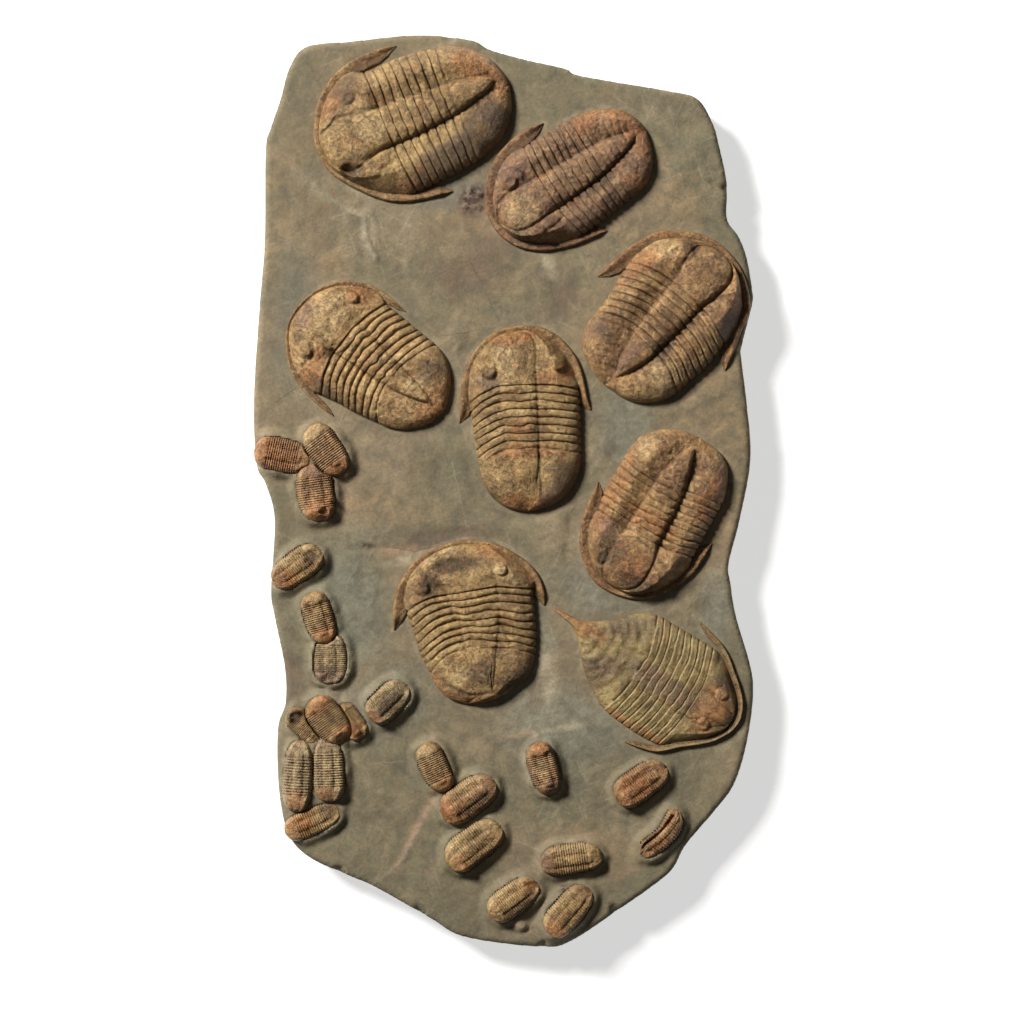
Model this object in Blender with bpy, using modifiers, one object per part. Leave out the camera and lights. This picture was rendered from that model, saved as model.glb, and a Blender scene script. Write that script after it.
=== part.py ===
"""A fossil plate: a slab of mudstone with large and small trilobites standing out of it in relief.

The plate lies on its flat back. +Z is up, +Y runs along the slab to its narrow top, +X is to the
right of that, and the origin is on the back, under the middle of the slab. Dimensions are in
millimetres, and MM turns them into metres. Each trilobite is drawn in its own frame, seen from
above with its head up: x to its right, y towards its head.
"""
import math

import bpy
import bmesh
import numpy as np
from mathutils import Matrix

MM = 0.001
GAP = 0.3                    # left open between two pieces that touch
MARGIN = 0.7                 # growth of a cutter, which leaves the gap on its steep sides too
CUTTER_HEIGHT = 80.0         # taller than anything, so that nothing is left over the cutter

SLAB_THICKNESS = 40.0
SLAB_BEVEL = 9.0             # rounding of the slab's worn edges
SEAT = SLAB_THICKNESS + GAP  # height of the fossils' undersides

GROOVE = 2.8                 # depth of the groove between two body segments
FURROW_LEVEL = 0.62          # height of the furrows beside the middle lobe, as a share of the lobe's
CREST_LEVEL = 0.86           # the same for the ribs' highest part, half way out from the furrow
TAIL_LEVEL = 0.94            # the same for the middle lobe where the tail shield starts
EYE_HEIGHT = 4.0
LARGE_SEGMENTS = 8
SMALL_RIBS = 5               # each stands for two or three of the small ones' thirteen segments
RIM_HEIGHT = 5.5
RIM_STEPS = 13
RIM_LIFT = 0.2               # the rim's underside stays clear of the plane of the body's
RIM_TIP = 2.5                # width of the rim at the tips of the cheek spines
RIM_CHEEK = 9.0              # its width beside the cheeks
RIM_FRONT = 9.5              # its width in front, a third of it under the head that it grows from

MATRIX_COLOUR = (0.235, 0.205, 0.135, 1)
OCHRE = (0.36, 0.20, 0.085, 1)
CREAM_BROWN = (0.42, 0.27, 0.14, 1)
DARK_BROWN = (0.20, 0.10, 0.05, 1)
OLIVE_GOLD = (0.30, 0.21, 0.085, 1)

# The slab's outline, clockwise from the top of its left side.
SLAB_OUTLINE = [
    (-257, 398), (-246, 430), (-237, 463), (-224, 485), (-206, 492), (-169, 495), (-114, 501), (-81, 502),
    (-34, 496), (-15, 486), (24, 475), (68, 465), (86, 457), (178, 441), (213, 432), (230, 405),
    (238, 377), (246, 337), (246, 300), (259, 280), (268, 256), (274, 221), (274, 206), (263, 162),
    (262, 146), (268, 96), (272, 34), (260, -32), (248, -80), (250, -102), (256, -138), (272, -193),
    (275, -226), (268, -276), (254, -322), (233, -351), (201, -389), (186, -416), (161, -437), (125, -462),
    (75, -495), (42, -502), (-42, -491), (-81, -470), (-141, -436), (-169, -424), (-211, -405), (-235, -382),
    (-245, -346), (-249, -301), (-248, -258), (-240, -232), (-241, -193), (-252, -138), (-256, -109),
    (-252, -32), (-262, 8), (-272, 30), (-275, 100), (-269, 199), (-263, 276), (-262, 375),
]

# Rails run from the nose to the tail: points beside the head, the thorax and the tail shield.
LARGE = {
    "large_trilobite_1": {
        "centre": (-97, 408), "heading": -160, "height": 24, "colour": OCHRE,
        "nose": (0, 108), "tail": (0, -111),
        "left_edge": [[(-20, 104), (-34, 95), (-49, 81), (-62, 66), (-71, 52), (-76, 38)],
                      [(-76, 25), (-74, 0), (-72, -20), (-66, -50)],
                      [(-62, -60), (-54, -80), (-40, -95), (-22, -105)]],
        "left_furrow": [[(-17, 101), (-29, 88), (-30, 75), (-22, 52)],
                        [(-20, 32), (-18, 0), (-11, -48)],
                        [(-6, -65), (0, -84), (7, -97)]],
        "right_furrow": [[(17, 103), (23, 91), (28, 76), (27, 52)],
                         [(25, 34), (25, 0), (24, -46)],
                         [(22, -65), (18, -88), (11, -98)]],
        "right_edge": [[(18, 106), (34, 100), (48, 92), (62, 80), (73, 64), (76, 50)],
                       [(69, 35), (71, 0), (70, -20), (67, -48)],
                       [(64, -62), (57, -77), (47, -90), (35, -100), (15, -108)]],
        "eyes": [(-36, 62, 9), (46, 62, 7)],
        "rim": [(-88, -12), (-88, 0), (-86, 20), (-82, 40), (-76, 55), (-66, 70), (-52, 85), (-36, 99),
                (-20, 109), (0, 113), (18, 112), (35, 106), (50, 98), (65, 85), (77, 68), (84, 50),
                (87, 30), (87, 5), (84, -8)],
    },
    "large_trilobite_2": {
        "centre": (74, 341), "heading": -146.5, "height": 22, "colour": CREAM_BROWN,
        "nose": (5, 92), "tail": (0, -100),
        "left_edge": [[(-9, 90), (-21, 86), (-31, 77), (-42, 64), (-51, 50), (-56, 36)],
                      [(-57, 22), (-57, 0), (-55, -20), (-53, -44)],
                      [(-52, -56), (-48, -70), (-38, -83), (-22, -93)]],
        "left_furrow": [[(-13, 82), (-19, 68), (-19, 48)],
                        [(-18, 29), (-17, -20), (-14, -42)],
                        [(-10, -60), (-5, -76), (2, -90)]],
        "right_furrow": [[(20, 82), (25, 68), (24, 48)],
                         [(22, 29), (21, 0), (18, -42)],
                         [(15, -60), (11, -75), (6, -90)]],
        "right_edge": [[(19, 89), (31, 83), (43, 73), (54, 61), (61, 48), (63, 36)],
                       [(60, 22), (60, 0), (59, -20), (57, -42)],
                       [(54, -55), (48, -70), (38, -86), (20, -97)]],
        "eyes": [(-27, 60, 6), (35, 58, 8)],
        "rim": [(-68, -3), (-66, 15), (-62, 35), (-55, 55), (-47, 70), (-35, 84), (-22, 93), (-8, 98),
                (5, 99), (20, 97), (33, 91), (47, 81), (58, 70), (66, 57), (72, 40), (75, 20), (74, 5),
                (70, -10)],
    },
    "large_trilobite_3": {
        "centre": (179, 192), "heading": 48, "height": 24, "colour": DARK_BROWN,
        "nose": (0, 92), "tail": (0, -102),
        "left_edge": [[(-15, 91), (-28, 87), (-42, 78), (-54, 69), (-65, 56), (-71, 40)],
                      [(-70, 18), (-68, 0), (-62, -28), (-60, -57)],
                      [(-58, -68), (-50, -84), (-32, -96), (-12, -101)]],
        "left_furrow": [[(-14, 88), (-25, 78), (-26, 60), (-21, 44)],
                        [(-20, 32), (-19, 0), (-14, -38)],
                        [(-11, -52), (-7, -70), (1, -84)]],
        "right_furrow": [[(16, 88), (26, 76), (27, 60), (25, 44)],
                         [(23, 32), (22, 0), (20, -38)],
                         [(18, -52), (13, -70), (6, -84)]],
        "right_edge": [[(19, 90), (33, 84), (45, 75), (57, 64), (65, 50), (69, 34)],
                       [(68, 20), (70, -10), (68, -30), (65, -54)],
                       [(61, -67), (54, -78), (42, -90), (26, -98)]],
        "eyes": [(-31, 66, 8), (38, 62, 6)],
        "rim": [(-86, -18), (-85, 0), (-82, 25), (-77, 45), (-70, 62), (-58, 75), (-45, 85), (-30, 94),
                (-15, 98), (0, 99), (20, 96), (35, 90), (48, 82), (60, 72), (68, 60), (72, 45), (78, 30),
                (85, 10), (88, -1)],
    },
    "large_trilobite_4": {
        "centre": (-148, 152), "heading": 138, "height": 20, "colour": CREAM_BROWN,
        "nose": (-10, 89), "tail": (5, -105),
        "left_edge": [[(-22, 88), (-35, 85), (-47, 77), (-58, 66), (-67, 53), (-73, 38), (-75, 22)],
                      [(-70, 8), (-63, -15), (-60, -30), (-51, -58)],
                      [(-48, -68), (-40, -82), (-28, -93), (-12, -102)]],
        "left_furrow": [[(-26, 82), (-33, 68), (-30, 46)],
                        [(-26, 28), (-21, 0), (-18, -20), (-15, -38)],
                        [(-11, -55), (-5, -72), (2, -88)]],
        "right_furrow": [[(6, 82), (18, 68), (19, 48)],
                         [(17, 30), (15, 0), (13, -38)],
                         [(12, -55), (10, -72), (7, -88)]],
        "right_edge": [[(8, 87), (23, 81), (36, 72), (46, 60), (54, 47), (56, 34)],
                       [(53, 21), (54, 0), (55, -30), (56, -48)],
                       [(54, -62), (47, -77), (35, -90), (20, -100)]],
        "eyes": [(-44, 53, 8), (33, 52, 6)],
        "rim": [(-78, -18), (-80, 0), (-80, 20), (-77, 38), (-70, 55), (-60, 68), (-48, 80), (-35, 88),
                (-20, 92), (-5, 92), (10, 90), (25, 84), (38, 75), (49, 62), (56, 50), (60, 35), (61, 20),
                (61, 0)],
    },
    "large_trilobite_5": {
        "centre": (24, 78), "heading": 92.5, "height": 22, "colour": OCHRE,
        "nose": (0, 99), "tail": (-2, -101),
        "left_edge": [[(-20, 96), (-33, 90), (-46, 79), (-56, 66), (-62, 50), (-63, 36)],
                      [(-61, 21), (-58, -5), (-57, -20), (-53, -48)],
                      [(-50, -63), (-44, -78), (-33, -90), (-20, -97)]],
        "left_furrow": [[(-18, 92), (-27, 80), (-29, 60)],
                        [(-27, 38), (-24, 0), (-20, -32)],
                        [(-16, -50), (-10, -70), (-4, -85)]],
        "right_furrow": [[(11, 92), (15, 76), (14, 56)],
                         [(14, 38), (14, 0), (14, -32)],
                         [(12, -55), (8, -73), (2, -85)]],
        "right_edge": [[(18, 96), (33, 87), (44, 76), (53, 64), (59, 48)],
                       [(61, 31), (61, 0), (60, -20), (60, -40)],
                       [(57, -58), (50, -74), (40, -86), (22, -96)]],
        "eyes": [(-38, 56, 8), (39, 60, 8)],
        "rim": [(-73, 0), (-71, 20), (-69, 40), (-64, 58), (-55, 75), (-42, 90), (-25, 100), (-5, 104),
                (10, 104), (25, 100), (40, 91), (52, 78), (60, 65), (65, 50), (68, 35), (70, 20), (73, 8)],
    },
    "large_trilobite_6": {
        "centre": (167, -24), "heading": -118.5, "height": 24, "colour": DARK_BROWN,
        "nose": (0, 94), "tail": (-3, -96),
        "left_edge": [[(-17, 92), (-31, 86), (-43, 75), (-52, 63), (-60, 48), (-62, 36)],
                      [(-60, 24), (-60, 0), (-60, -42)],
                      [(-58, -55), (-52, -72), (-43, -85), (-28, -93)]],
        "left_furrow": [[(-14, 88), (-23, 76), (-24, 50)],
                        [(-20, 30), (-19, -10), (-17, -38)],
                        [(-13, -55), (-8, -72), (-4, -84)]],
        "right_furrow": [[(16, 88), (24, 75), (24, 50)],
                         [(21, 30), (18, -10), (16, -38)],
                         [(11, -58), (6, -74), (0, -84)]],
        "right_edge": [[(18, 92), (31, 86), (42, 76), (51, 65), (58, 52), (60, 40)],
                       [(58, 27), (61, 0), (60, -30), (59, -44)],
                       [(55, -65), (47, -76), (35, -86), (17, -94)]],
        "eyes": [(-33, 65, 6), (30, 70, 7)],
        "rim": [(-71, 0), (-71, 20), (-69, 38), (-64, 52), (-57, 65), (-48, 77), (-37, 88), (-22, 96),
                (-5, 100), (10, 101), (22, 99), (35, 93), (47, 82), (57, 70), (64, 55), (69, 38), (71, 20),
                (72, 0)],
    },
    "large_trilobite_7": {
        "centre": (-36, -146), "heading": 86.5, "height": 20, "colour": OCHRE,
        "nose": (0, 88), "tail": (0, -88),
        "left_edge": [[(-15, 87), (-31, 82), (-46, 75), (-58, 66), (-68, 55), (-75, 42), (-78, 26)],
                      [(-72, 10), (-60, -20), (-53, -38), (-41, -58)],
                      [(-37, -66), (-30, -75), (-18, -84)]],
        "left_furrow": [[(-22, 82), (-32, 66), (-32, 46)],
                        [(-28, 31), (-20, 10), (-10, -5), (-5, -26)],
                        [(2, -42), (11, -60), (19, -72)]],
        "right_furrow": [[(13, 83), (20, 67), (22, 54)],
                         [(26, 43), (31, 15), (32, 0), (30, -24)],
                         [(30, -42), (29, -58), (26, -72)]],
        "right_edge": [[(15, 88), (30, 84), (42, 78), (54, 70), (64, 60), (70, 51)],
                       [(67, 42), (71, 10), (73, -10), (73, -30)],
                       [(71, -44), (67, -54), (57, -63), (43, -75), (28, -83), (14, -87)]],
        "eyes": [(-56, 37, 8), (30, 62, 6)],
        "rim": [(-84, -12), (-86, 0), (-86, 18), (-83, 35), (-77, 48), (-70, 60), (-60, 70), (-47, 79),
                (-32, 86), (-15, 91), (0, 92), (15, 91), (30, 87), (43, 81), (55, 74), (65, 66), (72, 57),
                (77, 47), (80, 35), (80, 25)],
    },
    "spine_tailed_trilobite": {
        "centre": (169, -208), "heading": -32, "height": 12, "colour": OLIVE_GOLD,
        "nose": (-6, 94), "tail": (-6, -143),
        "left_edge": [[(-18, 91), (-29, 84), (-41, 72), (-52, 58), (-60, 45)],
                      [(-63, 33), (-62, -10), (-61, -38)],
                      [(-52, -55), (-40, -68), (-28, -80), (-18, -93), (-11, -107), (-9, -128)]],
        "left_furrow": [[(-15, 84), (-20, 68)],
                        [(-19, 46), (-18, 0), (-16, -24)],
                        [(-12, -50), (-8, -75), (-7, -100)]],
        "right_furrow": [[(5, 86), (15, 70)],
                         [(18, 45), (18, 0), (16, -24)],
                         [(10, -50), (3, -75), (-3, -100)]],
        "right_edge": [[(8, 92), (18, 86), (28, 78), (38, 66), (48, 55), (56, 46)],
                       [(60, 37), (62, 5), (58, -33)],
                       [(45, -58), (34, -73), (21, -86), (8, -98), (-1, -110), (-4, -128)]],
        "eyes": [(-25, 68, 6), (14, 68, 6)],
        "rim": [(-80, 5), (-76, 22), (-72, 38), (-65, 52), (-55, 65), (-43, 80), (-32, 91), (-20, 98),
                (-8, 101), (5, 99), (17, 93), (28, 85), (40, 72), (50, 60), (60, 50), (68, 40), (73, 25),
                (77, 5)],
    },
}

# Small ones: centre, heading, half width to the left and right, front and back of the body, height,
# and the ones that lie over it.
SMALL = {
    "small_trilobite_01": ((-250, 40), 168, 20, 22, 25, -24, 12,
                           ["small_trilobite_02", "small_trilobite_03"]),
    "small_trilobite_02": ((-193, 45), 125.5, 22, 19, 33, -32, 16, []),
    "small_trilobite_03": ((-203, -3), 98, 26, 20, 34, -32, 15, ["small_trilobite_02"]),
    "small_trilobite_04": ((-225, -84), 35, 21, 18, 32, -34, 13, []),
    "small_trilobite_05": ((-201, -140), 106, 20, 17, 31, -29, 15, []),
    "small_trilobite_06": ((-190, -188), -90, 20, 20, 24, -20, 12, ["small_trilobite_05"]),
    "small_trilobite_07": ((-124, -230), -136.5, 19, 21, 31, -26, 15, []),
    "small_trilobite_08": ((-221, -255), 135, 15, 14, 20, -19, 10, ["small_trilobite_09"]),
    "small_trilobite_09": ((-191, -252), 126, 20, 18, 28, -24, 16, []),
    "small_trilobite_10": ((-168, -254), -55.5, 15, 12, 21, -15, 12, ["small_trilobite_09"]),
    "small_trilobite_11": ((-225, -316), -93.5, 13, 19, 38, -40, 15, []),
    "small_trilobite_12": ((-192, -311), -88, 18, 20, 29, -34, 15, ["small_trilobite_11"]),
    "small_trilobite_13": ((-212, -364), -156.5, 15, 15, 29, -32, 11,
                           ["small_trilobite_11", "small_trilobite_12"]),
    "small_trilobite_14": ((-73, -304), 114.5, 20, 16, 31, -28, 15, []),
    "small_trilobite_15": ((-37, -339), -144.5, 20, 24, 36, -35, 16, ["small_trilobite_14"]),
    "small_trilobite_16": ((-30, -390), -142.5, 19, 25, 38, -36, 15, ["small_trilobite_15"]),
    "small_trilobite_17": ((46, -304), 105.5, 20, 16, 30, -31, 16, []),
    "small_trilobite_18": ((76, -406), -172, 16, 21, 36, -34, 15, []),
    "small_trilobite_19": ((12, -449), -144.5, 18, 21, 33, -32, 15, []),
    "small_trilobite_20": ((74, -461), -131, 17, 22, 36, -33, 15, []),
    "small_trilobite_21": ((152, -322), -145, 19, 22, 34, -34, 16, []),
}
SMALL_AXIS = 0.38            # the middle lobe's half width, as a share of the body's
SMALL_BLUNTNESS = 3.4        # exponent of the outline: 2 would be an ellipse
SMALL_TAPER = 0.10           # how much narrower the tail is than the head

# The broken one is half a shell standing on edge, a curved ridge with its hollow side to the left.
BROKEN = {
    "centre": (173, -378), "heading": 57, "height": 13, "nose": (-2, 34), "tail": (-4, -33),
    "left_edge": [[(-8, 30)], [(-9, 24), (-8, 5), (-13, -10), (-15, -19)], [(-11, -28)]],
    "left_furrow": [[(-1, 30)], [(0, 25), (-2, 5), (-6, -10), (-9, -19)], [(-8, -28)]],
    "right_furrow": [[(4, 30)], [(7, 24), (6, 5), (2, -10), (-2, -19)], [(-3, -28)]],
    "right_edge": [[(7, 32)], [(15, 21), (17, 8), (14, -6), (10, -19)], [(4, -29)]],
}


def smooth_curve(points, steps=12):
    """Points of a Catmull-Rom curve through the given ones, steps of them to each span."""
    ends = [2 * points[0] - points[1]] + list(points) + [2 * points[-1] - points[-2]]
    curve = []
    for before, start, end, after in zip(ends, ends[1:], ends[2:], ends[3:]):
        for step in range(steps):
            t = step / steps
            curve.append(start + 0.5 * t * (end - before
                         + t * (2 * before - 5 * start + 4 * end - after
                                + t * (3 * start - before - 3 * end + after))))
    curve.append(points[-1])
    return np.array(curve)


def along_rail(nose, sections, tail, stations):
    """Points of a rail at its stations: 0 nose, 1 front of the thorax, 2 its back, 3 tail."""
    head, thorax, shield = sections
    points = np.array([nose] + head + thorax + shield + [tail], float)
    steps = 12
    curve = smooth_curve(points, steps)
    run = np.concatenate([[0], np.cumsum(np.linalg.norm(np.diff(curve, axis=0), axis=1))])
    front = (len(head) + 1) * steps
    back = front + (len(thorax) - 1) * steps
    lengths = np.interp(stations, [0, 1, 2, 3], run[[0, front, back, -1]])
    return np.stack([np.interp(lengths, run, curve[:, 0]), np.interp(lengths, run, curve[:, 1])], axis=1)


def body_height(station):
    """How the height falls from the thorax to the nose and the tail, as a share of the whole."""
    if station < 1:
        return math.sqrt(1 - (1 - station) ** 3)
    if station < 2:
        return 1 - (1 - TAIL_LEVEL) * (station - 1)
    return TAIL_LEVEL * math.sqrt(1 - (station - 2) ** 2.4)


def loft(name, rows):
    """A closed mesh from rows of points across a body, whose first and last rows are single points."""
    mesh = bmesh.new()
    rings = [[mesh.verts.new(point) for point in row] for row in rows]
    for row, after in zip(rings, rings[1:]):
        wide = max(len(row), len(after))
        for column in range(wide - 1):
            corners = [row[min(column, len(row) - 1)], after[min(column, len(after) - 1)],
                       after[min(column + 1, len(after) - 1)], row[min(column + 1, len(row) - 1)]]
            mesh.faces.new(list(dict.fromkeys(corners)))
    rim = [row[0] for row in rings] + [row[-1] for row in reversed(rings[1:-1])]
    mesh.faces.new(rim)
    bmesh.ops.recalc_face_normals(mesh, faces=mesh.faces)
    data = bpy.data.meshes.new(name)
    mesh.to_mesh(data)
    mesh.free()
    return data


def trilobite_rows(spec, stations, across, segments):
    """Rows of points over a body. across lists the places from furrow, 0, to edge, 1."""
    rails = {rail: along_rail(spec["nose"], spec[rail], spec["tail"], stations)
             for rail in ("left_edge", "left_furrow", "right_furrow", "right_edge")}
    rows = []
    for index, station in enumerate(stations):
        if station in (0, 3):
            rows.append([(*rails["left_edge"][index], 0)])
            continue
        left, right = rails["left_furrow"][index], rails["right_furrow"][index]
        places = [flank_point(left, rails["left_edge"][index], share) for share in reversed(across)]
        places += [((left + right) / 2, 1.0)]
        places += [flank_point(right, rails["right_edge"][index], share) for share in across]
        scale = spec["height"] * body_height(station)
        groove = GROOVE if 1 <= station <= 2 and round((station - 1) * segments * 2) % 2 == 0 else 0
        rows.append([(*place, max(scale * level - groove, 0) + eye_height(spec, place) if level else 0)
                     for place, level in places])
    return rows


def flank_point(furrow, edge, share):
    """Place and height, as a share, on a rib that runs out from the furrow and bends back."""
    x = furrow[0] + (edge[0] - furrow[0]) * share
    y = furrow[1] + (edge[1] - furrow[1]) * (0.45 * share + 0.55 * share ** 2)
    if share < 0.5:
        level = FURROW_LEVEL + (CREST_LEVEL - FURROW_LEVEL) * share / 0.5
    else:
        level = CREST_LEVEL * math.sqrt((1 - share ** 3) / (1 - 0.5 ** 3))
    return np.array([x, y]), level


def eye_height(spec, place):
    """Height that the eyes add at a place."""
    height = 0.0
    for x, y, radius in spec.get("eyes", []):
        distance = math.dist((x, y), place) / (1.5 * radius)
        height += EYE_HEIGHT * max(0.0, 1 - distance ** 2)
    return height


def rim_mesh(name, spec):
    """The border of the head shield: a low band round the front that ends in the two cheek spines."""
    outline = smooth_curve(np.array(spec["rim"], float))
    run = np.concatenate([[0], np.cumsum(np.linalg.norm(np.diff(outline, axis=0), axis=1))])
    places = np.linspace(0, run[-1], RIM_STEPS + 1)
    outer = np.stack([np.interp(places, run, outline[:, axis]) for axis in (0, 1)], axis=1)
    ahead = np.gradient(outer, axis=0)
    inward = np.stack([ahead[:, 1], -ahead[:, 0]], axis=1)
    inward /= np.linalg.norm(inward, axis=1)[:, None]
    # The band is slender at the spines' tips and as wide as the border elsewhere.
    from_tip = np.minimum(places, run[-1] - places) / run[-1]
    width = np.interp(from_tip, [0, 0.06, 0.2, 0.5], [RIM_TIP, 0.9 * RIM_CHEEK, RIM_CHEEK, RIM_FRONT])
    mesh = bmesh.new()
    rings = []
    for point, side, wide in zip(outer, inward, width):
        corners = [(point, RIM_LIFT), (point + side, RIM_HEIGHT - 1),
                   (point + side * wide * 0.5, RIM_HEIGHT), (point + side * wide, RIM_LIFT)]
        rings.append([mesh.verts.new((*place, height)) for place, height in corners])
    for ring, after in zip(rings, rings[1:]):
        for column in range(4):
            mesh.faces.new([ring[column], ring[(column + 1) % 4], after[(column + 1) % 4], after[column]])
    mesh.faces.new(rings[0])
    mesh.faces.new(reversed(rings[-1]))
    bmesh.ops.recalc_face_normals(mesh, faces=mesh.faces)
    data = bpy.data.meshes.new(name)
    mesh.to_mesh(data)
    mesh.free()
    return data


def small_spec(centre, heading, left, right, front, back, height):
    """Rails of a small trilobite: a blunt oval, a little narrower behind, with a middle lobe."""
    middle = (front + back) / 2
    half = (front - back) / 2

    def side(share, width):
        points = []
        for place in (0.86, 0.5, 0.15, -0.15, -0.5, -0.86):
            spread = (1 - abs(place) ** SMALL_BLUNTNESS) ** 0.5
            spread *= 1 - SMALL_TAPER * (1 - place) / 2
            points.append((width * share * spread, middle + half * place))
        return [points[:1], points[1:5], points[5:]]

    return {"centre": centre, "heading": heading, "height": height,
            "nose": (0, front), "tail": (0, back),
            "left_edge": side(1, -left), "left_furrow": side(SMALL_AXIS, -left),
            "right_furrow": side(SMALL_AXIS, right), "right_edge": side(1, right)}


def placement(spec, lift=SEAT):
    """Where a trilobite lies on the slab, with its head towards its heading."""
    turn = Matrix.Rotation(math.radians(spec["heading"] - 90), 4, "Z")
    x, y = spec["centre"]
    return Matrix.Translation((x * MM, y * MM, lift * MM)) @ turn @ Matrix.Scale(MM, 4)


def add_object(name, data, collection):
    """A new object for a mesh, in a collection."""
    item = bpy.data.objects.new(name, data)
    collection.objects.link(item)
    return item


def finish_piece(item, colour, roughness):
    """Material and shading of one piece."""
    material = bpy.data.materials.new(item.name)
    material.use_nodes = True
    shader = material.node_tree.nodes["Principled BSDF"]
    shader.inputs["Base Color"].default_value = colour
    shader.inputs["Roughness"].default_value = roughness
    shader.inputs["Metallic"].default_value = 0
    item.data.materials.clear()
    item.data.materials.append(material)


def add_cutter(name, data, cutters):
    """A helper shape for a Boolean."""
    cutter = add_object(name, data, cutters)
    cutter.hide_render = True
    cutter.display_type = "WIRE"
    return cutter


def boolean(item, other, operation):
    """Join or cut one object by another."""
    modifier = item.modifiers.new(other.name, "BOOLEAN")
    modifier.operation = operation
    modifier.solver = "EXACT"
    modifier.object = other


def build_slab(part):
    """The slab: its outline filled and thickened, with worn, rounded edges."""
    curve = bpy.data.curves.new("matrix_slab", "CURVE")
    curve.dimensions = "2D"
    curve.fill_mode = "BOTH"
    curve.extrude = SLAB_THICKNESS / 2 * MM
    spline = curve.splines.new("POLY")
    spline.points.add(len(SLAB_OUTLINE) - 1)
    for point, (x, y) in zip(spline.points, SLAB_OUTLINE):
        point.co = (x * MM, y * MM, 0, 1)
    spline.use_cyclic_u = True
    slab = add_object("matrix_slab", curve, part)
    slab.location.z = SLAB_THICKNESS / 2 * MM
    weld = slab.modifiers.new("weld", "WELD")
    weld.merge_threshold = 0.00005
    bevel = slab.modifiers.new("worn edges", "BEVEL")
    bevel.width = SLAB_BEVEL * MM
    bevel.segments = 1
    bevel.limit_method = "ANGLE"
    bevel.angle_limit = math.radians(60)
    finish_piece(slab, MATRIX_COLOUR, 0.85)


def build_large(name, spec, part, cutters):
    """One large trilobite: the arched body joined with the rim of its head shield."""
    stations = [0, 0.1, 0.25, 0.45, 0.7]
    stations += [1 + step / (2 * LARGE_SEGMENTS) for step in range(2 * LARGE_SEGMENTS + 1)]
    stations += [2.3, 2.6, 2.86, 3]
    rows = trilobite_rows(spec, stations, (0, 0.35, 0.75, 1), LARGE_SEGMENTS)
    body = add_object(name, loft(name, rows), part)
    body.data.transform(placement(spec))
    rim = add_cutter(name + "_rim", rim_mesh(name + "_rim", spec), cutters)
    rim.data.transform(placement(spec))
    boolean(body, rim, "UNION")
    finish_piece(body, spec["colour"], 0.6)


def small_mesh(name, spec):
    """The arched body of a small trilobite."""
    stations = [0, 0.4]
    stations += [1 + step / (2 * SMALL_RIBS) for step in range(2 * SMALL_RIBS + 1)]
    stations += [2.5, 3]
    return loft(name, trilobite_rows(spec, stations, (0, 0.6, 1), SMALL_RIBS))


def grown(spec):
    """The same small trilobite, larger all round and tall, to clear its place in the one under it."""
    left, right, front, back = spec[2:6]
    return small_spec(spec[0], spec[1], left + MARGIN, right + MARGIN, front + MARGIN, back - MARGIN,
                      CUTTER_HEIGHT)


def build_small(name, spec, part, cutters):
    """One small trilobite, cut where others lie over it."""
    shape = small_spec(*spec[:7])
    body = add_object(name, small_mesh(name, shape), part)
    body.data.transform(placement(shape))
    for over in spec[7]:
        larger = grown(SMALL[over])
        cutter = add_cutter(name + "_under_" + over[-2:], small_mesh(over + "_cutter", larger), cutters)
        cutter.data.transform(placement(larger, SEAT - GAP))
        boolean(body, cutter, "DIFFERENCE")
    finish_piece(body, CREAM_BROWN, 0.65)


def build_broken(part):
    """The broken half shell at the lower right."""
    body = add_object("broken_trilobite", small_mesh("broken_trilobite", BROKEN), part)
    body.data.transform(placement(BROKEN))
    finish_piece(body, CREAM_BROWN, 0.65)


def main():
    for item in list(bpy.data.objects):
        bpy.data.objects.remove(item, do_unlink=True)
    part = bpy.data.collections.new("fossil trilobite plate")
    cutters = bpy.data.collections.new("cutters")
    bpy.context.scene.collection.children.link(part)
    bpy.context.scene.collection.children.link(cutters)
    build_slab(part)
    for name, spec in LARGE.items():
        build_large(name, spec, part, cutters)
    for name, spec in SMALL.items():
        build_small(name, spec, part, cutters)
    build_broken(part)


main()
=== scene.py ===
"""The looks of the fossil plate: a slab of grey-green mudstone with trilobites standing out of it.

Lengths are in millimetres until MM turns the finished meshes into metres. Each trilobite is drawn in
its own frame, seen from above with its head up: x to its right, y towards its head, z out of the slab.
"""
import math

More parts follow.
